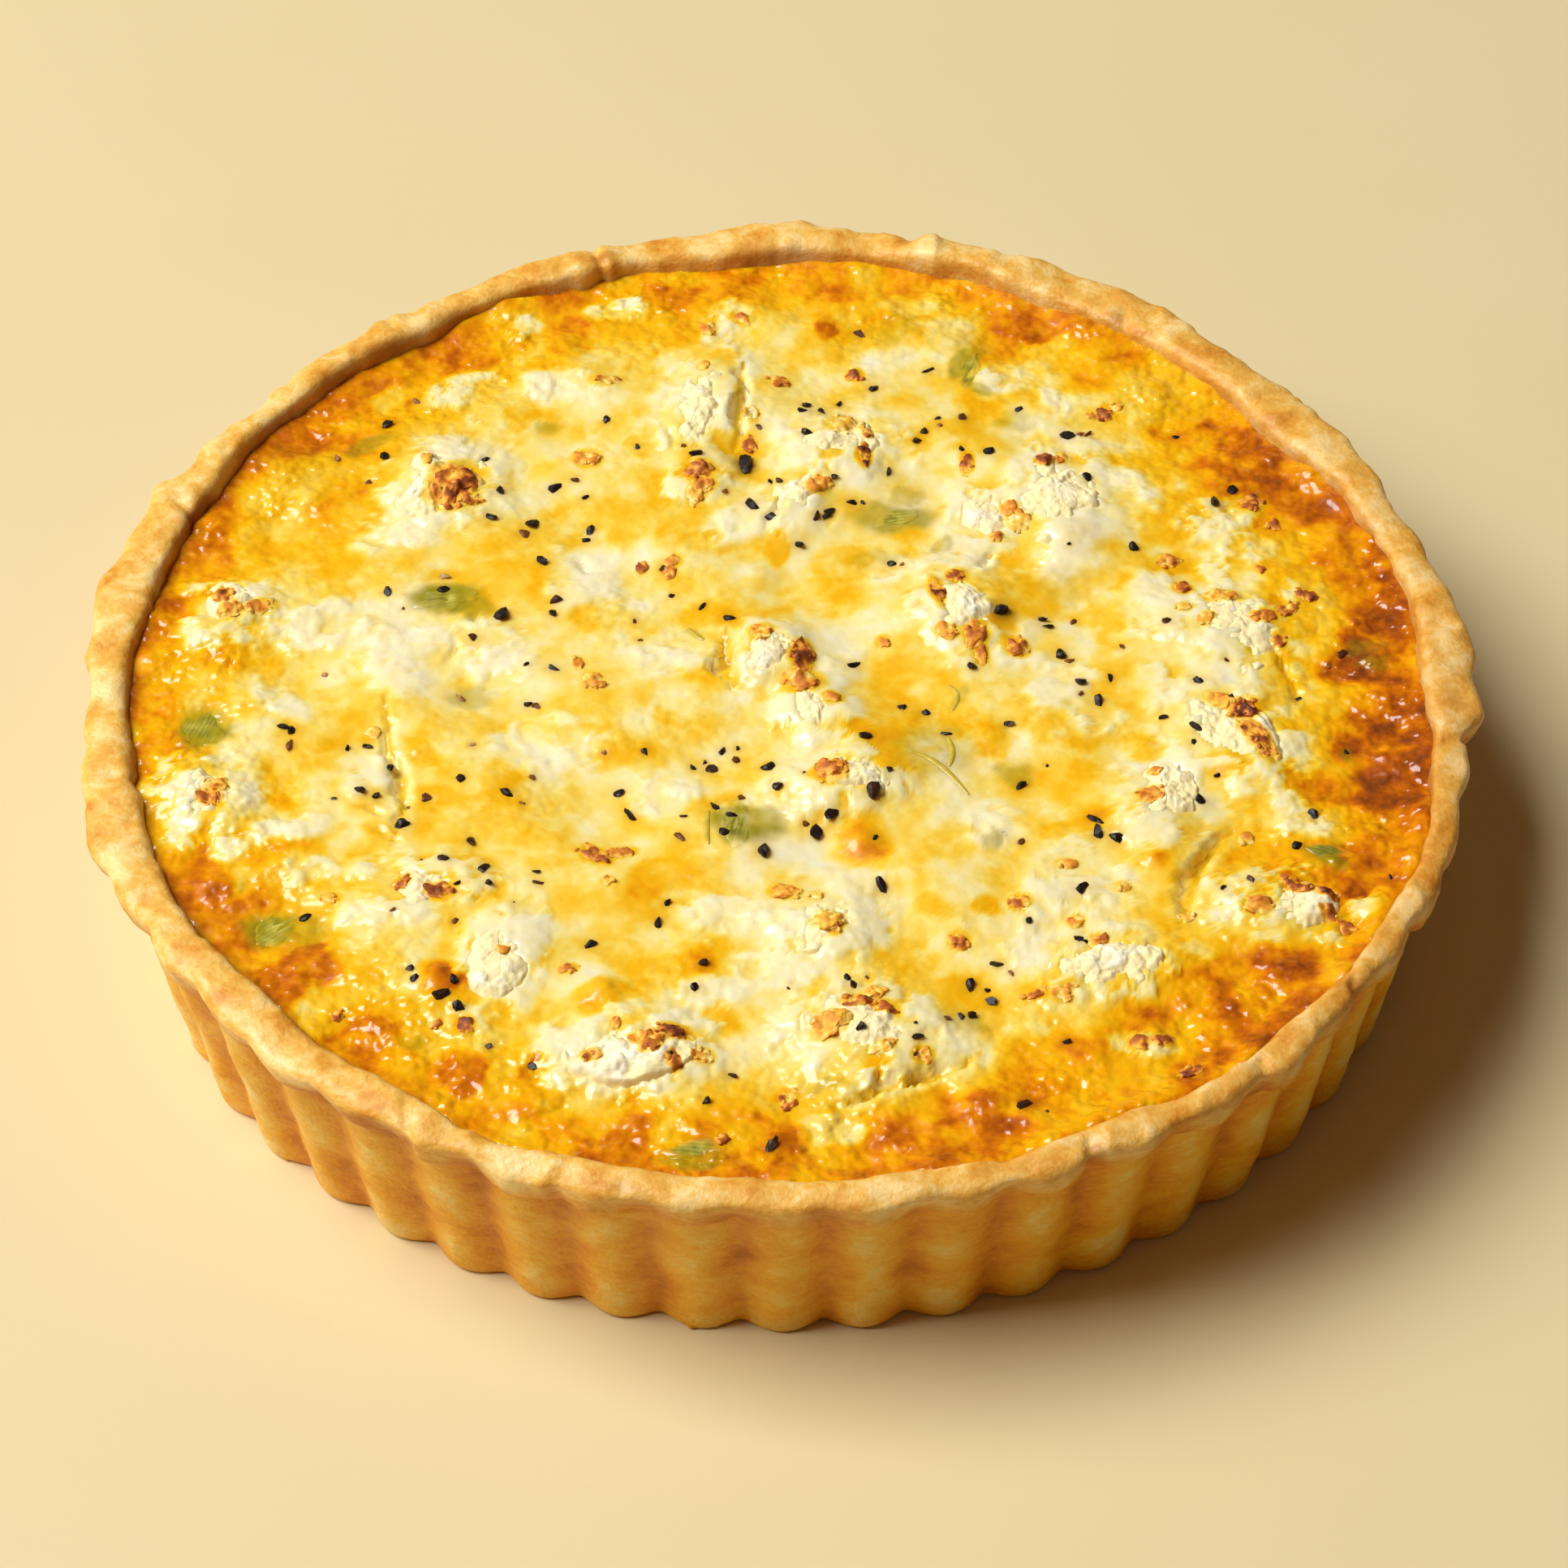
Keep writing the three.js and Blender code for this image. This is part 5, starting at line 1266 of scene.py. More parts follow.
    def build(self, finish: Material) -> Object:
        """Makes the case as one closed skin, with the relief of hand-worked dough.

        Args:
            finish: Baked shortcrust.

        Returns:
            The piece, with the values rim, brown_and_shade and painted_valley_shade for each point, the last
            two holding painted shade.
        """
        degrees = np.arange(self.columns) * 360.0 / self.columns
        radius, height, first_rim, after_rim = self.rings(degrees)
        around = np.broadcast_to(degrees, radius.shape)
        outer, inner = self.rim_outer(degrees), self.rim_inner(degrees)
        share = (outer - radius) / (outer - inner)
        rows = np.arange(len(radius))[:, None]
        rim = ease(self.wall_top - 0.5, self.wall_top + 4.5, height)
        rim = rim * (rows >= first_rim) * (rows < after_rim)
        points = polar(radius, around, height)
        relief = self.relief(points, around, np.where(rows < first_rim, -1.0, share), rim)
        worked = (rows > 2) & (rows < after_rim + 1)
        points = points + outward(points) * (relief * (worked * ease(0.0, 4.0, height)))[..., None]
        points[..., 2] = np.maximum(points[..., 2], 0.0)
        # Painted shade: darker down each flute's groove and in a band under the rim.
        under_rim_shade = bell(height - (self.wall_top + 0.8), 2.2) * (rows < first_rim + 12)
        painted_valley_shade = self.flute_dip(around) * (1.0 - rim) + 0.5 * under_rim_shade
        brown_and_shade = self.browned(points, around, share, rim)
        values = {"rim": rim, "brown_and_shade": brown_and_shade, "painted_valley_shade": np.clip(painted_valley_shade, 0, 1)}
        values = {label: np.append(value.ravel(), [0.0, 0.0]) for label, value in values.items()}
        poles = np.array([[0.0, 0.0, 0.0], [0.0, 0.0, self.base_thickness]])
        skin = Surface(np.concatenate([points.reshape(-1, 3), poles]), ring_faces(*radius.shape), values)
        case = skin.make("shortcrust_case", finish)
        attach(case, "root")
        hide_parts("pastry_case")
        return case


# -------------------------------- the filling


@dataclass
class Filling:
    """Shape and browning of the custard's top, shared by everything that lies on it.

    Curds show in patches browned less than pale, cream is the browning of fresh curd, and shoulder is how
    gently the browning comes up to its cap.
    """

    case: PastryCase
    level: float = 36.2
    crown: float = 0.7
    wave_reach: float = 160.0
    mound: float = 1.0
    mound_skirt: float = 3.0
    hollow: float = 0.6
    lip: float = 0.35
    pale: float = 0.15
    cream: float = 0.04
    shoulder: float = 0.12
    seed: int = 301

    def soft(self, points: Array, size: float, pattern: int) -> Array:
        """Soft noise of the filling's own, one of many patterns."""
        return soft_noise(points, size, self.seed + pattern)

    def rough(self, points: Array, size: float, pattern: int, octaves: int = 3, gain: float = 0.5) -> Array:
        """Rough noise of the filling's own, one of many patterns."""
        return rough_noise(points, size, self.seed + pattern, octaves, gain)

    def by_angle(self, rows: tuple, degrees: Array, column: int) -> Array:
        """Value from a table whose rows start with an angle, straight between its rows all the way round.

        Args:
            rows: The table.
            degrees: Angles to work it out for.
            column: Which number of each row is the value.

        Returns:
            The value for each angle.
        """
        angles = np.array([row[0] for row in rows], float)
        values = np.array([row[column] for row in rows], float)
        return np.interp(degrees % 360.0, np.append(angles, angles[0] + 360.0), np.append(values, values[0]))

    def plain(self, x: Array, y: Array) -> Array:
        """Height of the solid's top: level, crown, slow waves, and a mound round each piece of cheese.

        Args:
            x: Places across, in mm.
            y: Places up, in mm.

        Returns:
            Height in mm for each place.
        """
        r = np.hypot(x, y)
        waves = sum(rise * np.sin(x / across + y / up + phase) for rise, across, up, phase in WAVES)
        mound = np.zeros(np.shape(x))
        for chunk in CHEESE:
            distance = np.hypot(x - chunk.x, y - chunk.y)
            mound = np.maximum(mound, bell(distance, chunk.long + self.mound_skirt))
        crown = self.crown * (1.0 - (r / self.case.rim_radius) ** 2)
        return self.level + crown + waves * bell(r, self.wave_reach) + self.mound * mound

    def edge(self, x: Array, y: Array) -> Array:
        """Distance in mm from the rim's inner edge, positive inside."""
        return self.case.rim_inner(np.degrees(np.arctan2(y, x))) - np.hypot(x, y)

    def wetness(self, x: Array, y: Array) -> Array:
        """How glossy the skin is: most at the edge and in uneven patches inside.

        Args:
            x: Places across, in mm.
            y: Places up, in mm.

        Returns:
            A value from 0.05 to 1 for each place.
        """
        patches = self.soft(spatial(x, y), 13.0, 20)
        near = ease(34.0, 8.0, self.edge(x, y) + 7.0 * patches)
        near = near * (0.72 + 0.45 * self.rough(spatial(x, y), 7.0, 50, 2))
        near = near * mix(0.8, 1.05, bell(turn_from(np.degrees(np.arctan2(y, x)), -15.0), 60.0))
        return np.clip(0.27 + 0.73 * near + 0.22 * patches, 0.05, 1.0)

    def curds(self, x: Array, y: Array) -> tuple[Array, Array]:
        """Crumbs of cheese that show through the skin.

        Noise of five octaves gives ragged islands. They show in the pale patches and round each piece of
        cheese.

        Args:
            x: Places across, in mm.
            y: Places up, in mm.

        Returns:
            How far a place is on an island, from 0 to 1, and how much islands show there.
        """
        place = spatial(x, y)
        noise = self.rough(place, 4.2, 40, 5, 0.62)
        ragged = 0.3 * self.rough(place, 5.0, 41, 2)
        shown = np.zeros(np.shape(x))
        for patch in PATCHES:
            if patch.high < self.pale:
                shown = np.maximum(shown, ease(1.3, 0.8, patch.reach(x, y) + ragged))
        for chunk in CHEESE:
            shown = np.maximum(shown, 1.3 * ease(2.3, 1.2, chunk.reach(x, y) + ragged))
        return ease(-0.18, 0.2, noise + 0.12 * np.maximum(shown - 1.0, 0.0)), np.minimum(shown, 1.0)

    def height(self, x: Array, y: Array) -> Array:
        """Height of the finished skin.

        To the solid's top come curds, wrinkles where it is wet, blisters, cracks, and the climb up the rim.

        Args:
            x: Places across, in mm.
            y: Places up, in mm.

        Returns:
            Height in mm for each place.
        """
        place = spatial(x, y)
        edge = self.edge(x, y)
        degrees = np.degrees(np.arctan2(y, x))
        wet = ease(32.0, 8.0, edge)
        z = self.plain(x, y)
        # Swells, and wrinkles that are strongest where it is wet.
        z = z + 0.4 * self.rough(place, 12.0, 0, 2)
        z = z + (0.1 + 0.34 * wet) * self.soft(place, 4.6, 1)
        z = z + (0.01 + 0.2 * wet) * self.soft(place, 2.4, 2)
        # The climb up the rim, and the blisters.
        climb = self.by_angle(EDGE_CLIMB, degrees, 1) * (1.0 + 0.5 * self.soft(place, 5.0, 7))
        z = z + climb * ease(5.0, -0.5, edge)
        for bx, by, radius, rise in BLISTERS:
            z = z + rise * bell(np.hypot(x - bx, y - by), radius * 0.75)
        # Curds, and a ragged skirt round each piece of cheese.
        ragged = 0.45 * self.soft(place, 4.5, 8) + 0.2 * self.soft(place, 1.8, 10)
        islands, shown = self.curds(x, y)
        z = z + shown * islands * (0.42 + 0.18 * self.rough(place, 1.7, 24, 3))
        for chunk in CHEESE:
            reach = chunk.reach(x, y)
            z = z + chunk.high * (0.24 + 0.14 * ragged) * ease(1.85, 0.85, reach + 0.5 * ragged)
        # Cracks with torn sides and a low lip.
        torn = 1.5 * wander(place, 3.6, (self.seed + 9, self.seed + 19), 3, 0.6)
        for crack in CRACKS + FINE_CRACKS:
            distance, opened = crack.opening(x + torn[..., 0], y + torn[..., 1])
            half = crack.wide * opened * 0.4 * (1.0 + 0.5 * torn[..., 0])
            depth = crack.deep * opened * ease(1.0, 0.0, (distance - half) / self.lip)
            z = z - depth + 0.12 * bell(distance - half - 1.2, 1.0) * opened
        return z

    def on_top(self, x: Array, y: Array) -> Array:
        """Height of whatever lies on top at a place: the skin, or the cheese where there is a piece.

        Args:
            x: Places across, in mm.
            y: Places up, in mm.

        Returns:
            Height in mm for each place.
        """
        z = self.height(x, y)
        for index, chunk in enumerate(CHEESE):
            near = chunk.reach(x, y) < 1.5
            if np.any(near):
                z[near] = np.maximum(z[near], self.lump(index, x[near], y[near]))
        return z

    def lump(self, index: int, x: Array, y: Array) -> Array:
        """Height of one piece of cheese: a low dome broken into blocks and crumbs, its foot under the skin.

        The dome falls with the square of the share of the way out. Each block and each crumb is a cell with
        a random height of its own.

        Args:
            index: Which piece of cheese.
            x: Places across, in mm.
            y: Places up, in mm.

        Returns:
            Height in mm for each place.
        """
        chunk = CHEESE[index]
        place = spatial(x, y, 11.0 * index)
        plan = chunk.reach(x, y)
        reach = np.maximum(plan + 0.55 * self.rough(place, 5.5, 30, 4, 0.6), 0.0)
        shift = 0.7 * wander(place, 1.8, (self.seed + 31, self.seed + 32), 2)
        gap, block = nearest_seed(place[..., :2] + shift, 3.4, self.seed + 33 + index)
        _, crumb = nearest_seed(place[..., :2] - shift, 1.5, self.seed + 73 + index)
        rough = 0.5 * self.rough(place, 4.5, 34, 2)
        rough = rough + 0.22 * self.rough(place, 1.3, 35, 2)
        rough = rough + 0.36 * (block - 0.5) + 0.1 * (0.5 - gap) + 0.24 * (crumb - 0.5)
        dome = 0.6 * chunk.high - 0.68 * chunk.high * reach**2.0
        fall = np.maximum(dome - 3.0 * ease(1.08, 1.28, plan), -2.4)
        base = self.plain(np.array(chunk.x), np.array(chunk.y))
        return base + fall + rough * ease(-2.2, -0.8, fall)

    def browning(self, x: Array, y: Array) -> Array:
        """How browned the skin is, from 0, cream, to 1, burnt.

        It rises towards the rim by a table of angles, is pulled to its own value in each listed patch, and
        varies between.

        Args:
            x: Places across, in mm.
            y: Places up, in mm.

        Returns:
            Browning for each place.
        """
        place = spatial(x, y)
        shift = 2.4 * wander(place, 7.0, (self.seed + 11, self.seed + 12), 4, 0.6)
        xs, ys = x + shift[..., 0], y + shift[..., 1]
        degrees = np.degrees(np.arctan2(y, x))
        start = self.by_angle(EDGE_BROWNING, degrees, 1)
        full = self.by_angle(EDGE_BROWNING, degrees, 2)
        # Uneven gold, darker in soft clouds.
        r = np.hypot(xs, ys)
        slow = self.rough(place, 15.0, 13, 2)
        quick = self.rough(place, 5.5, 14, 2)
        value = 0.235 + 0.1 * slow + 0.1 * quick
        value = mix(value, 0.48, 0.58 * ease(0.1, 0.5, self.rough(place, 9.0, 25, 3)))
        # Darker towards the rim.
        width = self.case.rim_inner(degrees) - start + 3.0
        towards = np.clip((r + 3.0 * quick - start + 8.0) / width, 0.0, 1.0)
        value = mix(value, full, towards**1.3)
        # Listed patches, the browned ones more strongly than the pale.
        for patch in PATCHES:
            strength = 0.88 if patch.high > self.pale else 0.6
            value = mix(value, patch.high, strength * ease(1.25, 0.7, patch.reach(xs, ys)))
        # Pale clouds and crumbs where it isn't browned yet.
        clouds = ease(0.1, 0.5, self.rough(place, 6.0, 21, 4))
        crumbs = ease(0.35, 0.8, self.rough(place, 2.6, 22, 2))
        value = mix(value, 0.07, (0.45 * clouds + 0.3 * crumbs) * ease(0.64, 0.34, value))
        # Finer unevenness, stronger where it is brown.
        fine = self.rough(place, 2.4, 15, 2)
        value = value + 0.05 * quick + 0.015 * fine + ease(0.4, 0.62, value) * (0.17 * quick + 0.05 * fine)
        # Curds, and brown round each toast.
        ragged = 0.4 * self.rough(place, 4.0, 23, 4)
        islands, shown = self.curds(x, y)
        value = mix(value, self.cream, 0.86 * islands * shown)
        for toast in TOASTS:
            reach = toast.reach(x, y, 0.3) + ragged
            value = np.maximum(value, min(0.6, 0.72 * toast.dark) * ease(1.75, 0.8, reach))
        # Painted shadow: a darker line on the custard beside the rim, on the left.
        rim_shadow_line = ease(3.6, 0.4, self.edge(x, y)) * bell(turn_from(degrees, 180.0), 85.0)
        value = value + 0.1 * rim_shadow_line
        # Cracks: pale lips and a golden floor.
        for crack in CRACKS:
            distance, opened = crack.opening(x, y)
            half = 0.4 * crack.wide * opened
            value = mix(value, self.cream, 0.6 * opened * bell(distance - half - 0.8, 0.9))
            value = mix(value, 0.44, 0.8 * bell(distance, 0.7 * half + 0.1))
        # The darkest tones come up gently to a cap, higher on the right.
        right = bell(turn_from(degrees, -12.0), 52.0)
        cap = mix(0.8, 0.95, right)
        knee = cap - self.shoulder
        value = np.where(value > knee, cap - self.shoulder * np.exp(-(value - knee) / self.shoulder), value)
        return np.clip(value, 0.0, 1.0)

    def greenness(self, x: Array, y: Array) -> Array:
        """How much leek shows green through the skin, with the same olive laid along the cracks as painted
        shade.

        Args:
            x: Places across, in mm.
            y: Places up, in mm.

        Returns:
            A value from 0 to 1 for each place.
        """
        place = spatial(x, y)
        shift = 1.6 * wander(place, 4.0, (self.seed + 16, self.seed + 17))
        total = np.zeros(np.shape(x))
        for patch in GREENS:
            reach = patch.reach(x + shift[..., 0], y + shift[..., 1])
            total = np.maximum(total, patch.high * ease(1.2, 0.55, reach))
        # Painted shade: an olive tint along each crack, widest where it is open most.
        for crack in CRACKS:
            distance, opened = crack.opening(x, y)
            total = np.maximum(total, 0.35 * bell(distance, 0.5 * crack.wide * opened))
        return np.clip(total * (1.05 + 0.3 * self.rough(place, 2.0, 18, 2)), 0.0, 1.0)


@dataclass
class EggCustard:
    """The custard: a closed body whose top is a square grid pressed into a round one.

    Its border runs on under the rim by overlap and is dip lower there, so that it doesn't show through.
    """

    filling: Filling
    cells: int = 300
    overlap: float = 2.1
    dip: float = 2.2
    side_gap: float = 0.3
    side_heights: tuple[float, float, float] = (34.0, 25.0, 15.0)
    floor: float = 4.9

    def build(self, finish: Material) -> Object:
        """Makes the body: a top whose border dips under the rim, side and flat underside.

        A point (u, v) of the square goes to a circle of radius max(|u|, |v|), at an angle from the nearest
        side's middle that is an eighth of a turn times the smaller over the larger.

        Args:
            finish: Baked custard.

        Returns:
            The piece, with the values bake, green, wet and dark for each point.
        """
        case = self.filling.case
        steps = np.linspace(-1.0, 1.0, self.cells + 1)
        u, v = np.meshgrid(steps, steps)
        wide = np.abs(u) >= np.abs(v)
        with np.errstate(divide="ignore", invalid="ignore"):
            angle = np.where(wide, math.pi / 4 * v / u, math.pi / 2 - math.pi / 4 * u / v)
        angle = np.nan_to_num(angle)
        reach = np.where(wide, u, v)
        degrees = np.degrees(angle) + np.where(reach < 0.0, 180.0, 0.0)
        radius = np.abs(reach) * (case.rim_inner(degrees) + self.overlap)
        x, y = radius * np.cos(np.radians(degrees)), radius * np.sin(np.radians(degrees))
        z = self.filling.height(x, y)
        # A hollow under each piece of cheese, and the border's dip.
        z = np.where(self.filling.on_top(x, y) > z + 0.02, z - self.filling.hollow, z)
        z = z - self.dip * ease(-0.5, -1.6, self.filling.edge(x, y))
        top = spatial(x, y, z).reshape(-1, 3)
        last = self.cells
        border = grid_border(last + 1, last + 1)
        turn = degrees.ravel()[border]
        levels = (*self.side_heights, self.floor)
        side = np.concatenate([polar(case.inner_radius(turn, z) - self.side_gap, turn, z) for z in levels])
        count, start = len(border), len(top)
        rows = np.concatenate([border[None], start + np.arange(len(side)).reshape(-1, count)])
        after = np.roll(rows, -1, axis=1)
        skirt = np.stack([rows[1:], after[1:], after[:-1], rows[:-1]], axis=-1).reshape(-1, 4)
        centre = start + len(side)
        under = fan_faces(centre, rows[-1], False)
        points = np.concatenate([top, side, [[0.0, 0.0, self.floor]]])
        px, py = points[:, 0], points[:, 1]
        values = {"bake": self.filling.browning(px, py), "green": self.filling.greenness(px, py),
                  "wet": self.filling.wetness(px, py), "dark": self.halos(px, py)}
        values["bake"] = np.clip(values["bake"] + 0.22 * self.halos(px, py, 1.5), 0.0, 1.0)
        body = Surface(points, [grid_faces(last + 1, last + 1, False), skirt, under], values)
        custard = body.make("browned_custard", finish)
        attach(custard, "root")
        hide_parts("egg_custard")
        return custard

    def halos(self, x: Array, y: Array, spread: float = 0.75) -> Array:
        """Dark rings burnt into the skin round the grains, darkest round the largest.

        Args:
            x: Places across, in mm.
            y: Places up, in mm.
            spread: Width of a ring as a share of its grain.

        Returns:
            Darkness from 0 to 1 for each place.
        """
        total = np.zeros(np.shape(x))
        for grain in GRAINS:
            strength = 0.25 + 0.5 * (grain.size > 2.9)
            distance = np.hypot(x - grain.x, y - grain.y)
            total = np.maximum(total, strength * bell(distance, spread * grain.size))
        return total


@dataclass
class GoatCheese:
    """One piece of cheese that replaces one solid: a low broken lump, its foot sunk in the custard."""

    filling: Filling
    index: int
    chunk: Chunk
    columns: int = 128
    rows: int = 48
    spread: float = 1.3
    buried: float = 3.2
    foot: float = 0.8

    def build(self, name: str, finish: Material) -> Object:
        """Makes the lump: rings, each an ellipse, from its flat underside out to its foot and in to the top.

        Args:
            name: Name of the solid that it replaces.
            finish: Toasted goat cheese.

        Returns:
            The piece, with the values toast and skin for each point.
        """
        chunk = self.chunk
        level = float(self.filling.plain(np.array(chunk.x), np.array(chunk.y)))
        angle = np.arange(self.columns) * 2.0 * math.pi / self.columns
        top = np.linspace(self.spread, 0.0, self.rows, endpoint=False)
        rings = np.concatenate([[self.foot * 0.5, self.foot], top])
        along = rings[:, None] * chunk.long * np.cos(angle)
        x, y = chunk.place(along, rings[:, None] * chunk.wide * np.sin(angle))
        z = self.filling.lump(self.index, x, y)
        z[:2] = level - self.buried
        centre = np.array([chunk.x, chunk.x]), np.array([chunk.y, chunk.y])
        ends = spatial(*centre, self.filling.lump(self.index, *centre))
        ends[0, 2] = level - self.buried
        flat = np.concatenate([spatial(x, y, z).reshape(-1, 3), ends])
        above = flat[:, 2] - self.filling.height(flat[:, 0], flat[:, 1])
        patch = rough_noise(flat, 4.0, 70 + self.index, 3)
        values = {"toast": toasting(flat), "skin": ease(1.7, 0.3, above + 0.8 * patch)}
        lump = Surface(flat, ring_faces(len(rings), self.columns), values).make(name, finish)
        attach(lump, "root")
        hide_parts(name)
        return lump


def toasting(points: Array) -> Array:
    """How toasted the cheese is at each point, from the toasts near it.

    Args:
        points: Places in mm.

    Returns:
        Up to each toast's own darkness at its centre, falling off to gold around it.
    """
    x, y = points[:, 0], points[:, 1]
    total = np.zeros(len(points))
    ragged = 0.22 * rough_noise(points, 1.6, 55, 2)
    for toast in TOASTS:
        reach = toast.reach(x, y) + ragged
        total = np.maximum(total, toast.dark * ease(1.25, 0.5, reach))
        total = np.maximum(total, min(0.4, 0.5 * toast.dark) * ease(1.9, 1.0, reach))
    return total


@dataclass
class ToastedCrumbs:
    """Every browned crumb and ridge of cheese: torn crusts on the surface, with loose bits beside them.

    A crust is larger than its toast by grow all round, and a bit's radius is drawn from the two of bit.
    """

    filling: Filling
    bit: tuple[float, float] = (0.28, 0.6)
    bits_limit: int = 6
    grow: float = 0.3
    seed: int = 4711

    def crust(self, toast: Toast, ball: Surface, dice: np.random.Generator) -> tuple[Array, Array]:
        """One torn crust, still lying flat: a ball pushed in and out by noise and pressed thin.

        Args:
            toast: The crumb or ridge that it belongs to.
            ball: Unit ball.
            dice: Source of the noise's offset.

        Returns:
            Places, with the height above the surface as z, and how toasted each is.
        """
        offset = dice.uniform(-50, 50, 3)
        torn = 1.0 + 0.55 * rough_noise(ball.points + offset, 0.7, self.seed, 3)
        shape = ball.points * torn[:, None]
        x, y = toast.place(shape[:, 0] * (toast.long + self.grow), shape[:, 1] * (toast.wide + self.grow))
        tall = min(0.6, 0.22 + 0.2 * min(toast.long, toast.wide))
        above = ball.points[:, 2] > -0.05
        ragged = rough_noise(spatial(x, y, offset[0]), 1.1, self.seed + 3, 3)
        z = np.where(above, tall * (1.15 * np.abs(ball.points[:, 2]) ** 0.8 - 0.25 + 1.1 * ragged), -0.9)
        tone = toast.dark * mix(0.55, 1.0, ease(0.0, 0.9, z / tall)) + 0.2 * ragged
        return spatial(x, y, z), np.clip(tone, 0.12, 1.0)

    def loose(self, toast: Toast, ball: Surface, dice: np.random.Generator) -> tuple[Array, Array]:
        """Bits beside a crust: small balls, dented and turned at random, as places and values.

        Args:
            toast: The crumb or ridge that they belong to.
            ball: Unit ball.
            dice: Source of their sizes and places.

        Returns:
            Places, and how toasted each is.
        """
        count = int(np.clip(0.8 * toast.long * toast.wide, 1, self.bits_limit))
        angle, reach = dice.uniform(0, 2 * math.pi, count), dice.uniform(0.7, 1.5, count)
        x, y = toast.place(toast.long * reach * np.cos(angle), toast.wide * reach * np.sin(angle))
        centres = spatial(x, y, 0.02)
        size = dice.uniform(*self.bit, count)
        shape = dice.uniform(0.6, 1.3, (count, 1, 3)) * ball.points[None] * size[:, None, None]
        rough = 1.0 + 0.3 * dice.uniform(-1, 1, (count, len(ball.points), 1))
        points = np.einsum("nij,nkj->nki", self.turned(dice, count), shape * rough) + centres[:, None]
        tone = toast.dark * dice.uniform(0.5, 0.95, count)
        return points.reshape(-1, 3), np.repeat(np.clip(tone, 0.15, 1.0), len(ball.points))

    def build(self, finish: Material) -> Object:
        """Makes one piece of all the crusts and bits, and lays it on the surface.

        Args:
            finish: Toasted goat cheese.

        Returns:
            The piece, with the values toast and skin for each point.
        """
        dice = np.random.default_rng(self.seed)
        small, medium, large = sphere(1), sphere(2), sphere(3)
        parts = []
        for toast in TOASTS:
            ball = large if toast.long * toast.wide > 1.2 else medium
            points, tone = self.crust(toast, ball, dice)
            parts.append(Surface(points, ball.faces, {"toast": tone, "skin": tone * 0.0}))
            points, tone = self.loose(toast, small, dice)
            count = len(points) // len(small.points)
            faces = small.faces[0][None] + (np.arange(count) * len(small.points))[:, None, None]
            parts.append(Surface(points, [faces.reshape(-1, 3)], {"toast": tone, "skin": tone * 0.0}))
        heap = joined(parts)
        heap.points[:, 2] += self.filling.on_top(heap.points[:, 0], heap.points[:, 1])
        crumbs = heap.make("toasted_crumbs", finish)
        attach(crumbs, "root")
        return crumbs

    @staticmethod
    def turned(dice: np.random.Generator, count: int) -> Array:
        """Random turns, one 3 by 3 matrix each, from the factors of random matrices."""
        turns, _ = np.linalg.qr(dice.normal(size=(count, 3, 3)))
        return turns * np.sign(np.linalg.det(turns))[:, None, None]


@dataclass
class LeekSlice:
    """One slice of leek that replaces one solid: a thin leaf with a curl, half under the skin."""

    filling: Filling
    leaf: Slice
    thickness: float = 1.0
    proud: float = 0.1
    columns: int = 60
    rows: int = 28

    def build(self, name: str, finish: Material) -> Object:
        """Makes the leaf: a top and an underside over (u, v) from -1 to 1, joined round the edge.

        It lies along u, narrows to both ends, bends sideways by a sine of u and curls up by a sine of u and
        the square of v.

        Args:
            name: Name of the solid that it replaces.
            finish: Cooked leek.

        Returns:
            The piece, with the values across, depth, fade, bake and green for each point.
        """
        leaf = self.leaf
        u, v = np.meshgrid(np.linspace(-1.0, 1.0, self.columns), np.linspace(-1.0, 1.0, self.rows))
        taper = 1.0 - 0.35 * u**2 + 0.1 * np.sin(4.0 * u + leaf.x)
        torn = 1.0 + 0.05 * soft_noise(spatial(v * 6.0, leaf.x, 0.0), 0.9, 8)
        p, q = leaf.long * u * torn, leaf.wide * taper * v + 0.8 * np.sin(2.2 * u)
        wave = leaf.high * (0.6 * np.sin(3.1 * u + leaf.y) + 0.5 * v**2)
        fibre = 0.04 * np.sin(q * 2.0 * math.pi / 1.4)
        torn_reach = np.hypot(u, v) + 0.25 * soft_noise(spatial(u, v, leaf.x), 0.4, 5)
        edge = 1.0 - np.clip(torn_reach, 0.0, 1.0) ** 7
        x, y = leaf.place(p, q)
        skin = self.filling.height(x, y)
        top = spatial(x, y, skin + 0.25 * wave + (self.proud + fibre) * edge - 0.6 * (1.0 - edge))
        under = spatial(x, y, skin + 0.25 * wave + self.proud - self.thickness - 0.4)
        count = self.columns * self.rows
        border = grid_border(self.rows, self.columns)
        after = np.roll(border, -1)
        side = np.stack([border + count, after + count, after, border], axis=-1)
        grid = grid_faces(self.rows, self.columns, False)
        reach = np.hypot(u, v) + 0.45 * rough_noise(spatial(p, q, leaf.y), 3.0, 31, 3)
        values = {"across": q, "depth": 0.15 * soft_noise(spatial(p, q, leaf.x), 3.0, 21),
                  "fade": ease(0.15, 0.95, reach), "bake": self.filling.browning(x, y),
                  "green": self.filling.greenness(x, y)}
        values = {label: np.tile(value.ravel(), 2) for label, value in values.items()}
        points = np.concatenate([top.reshape(-1, 3), under.reshape(-1, 3)])
        piece = Surface(points, [grid, grid[:, ::-1] + count, side], values).make(name, finish)
        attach(piece, "root")
        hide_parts(name)
        return piece


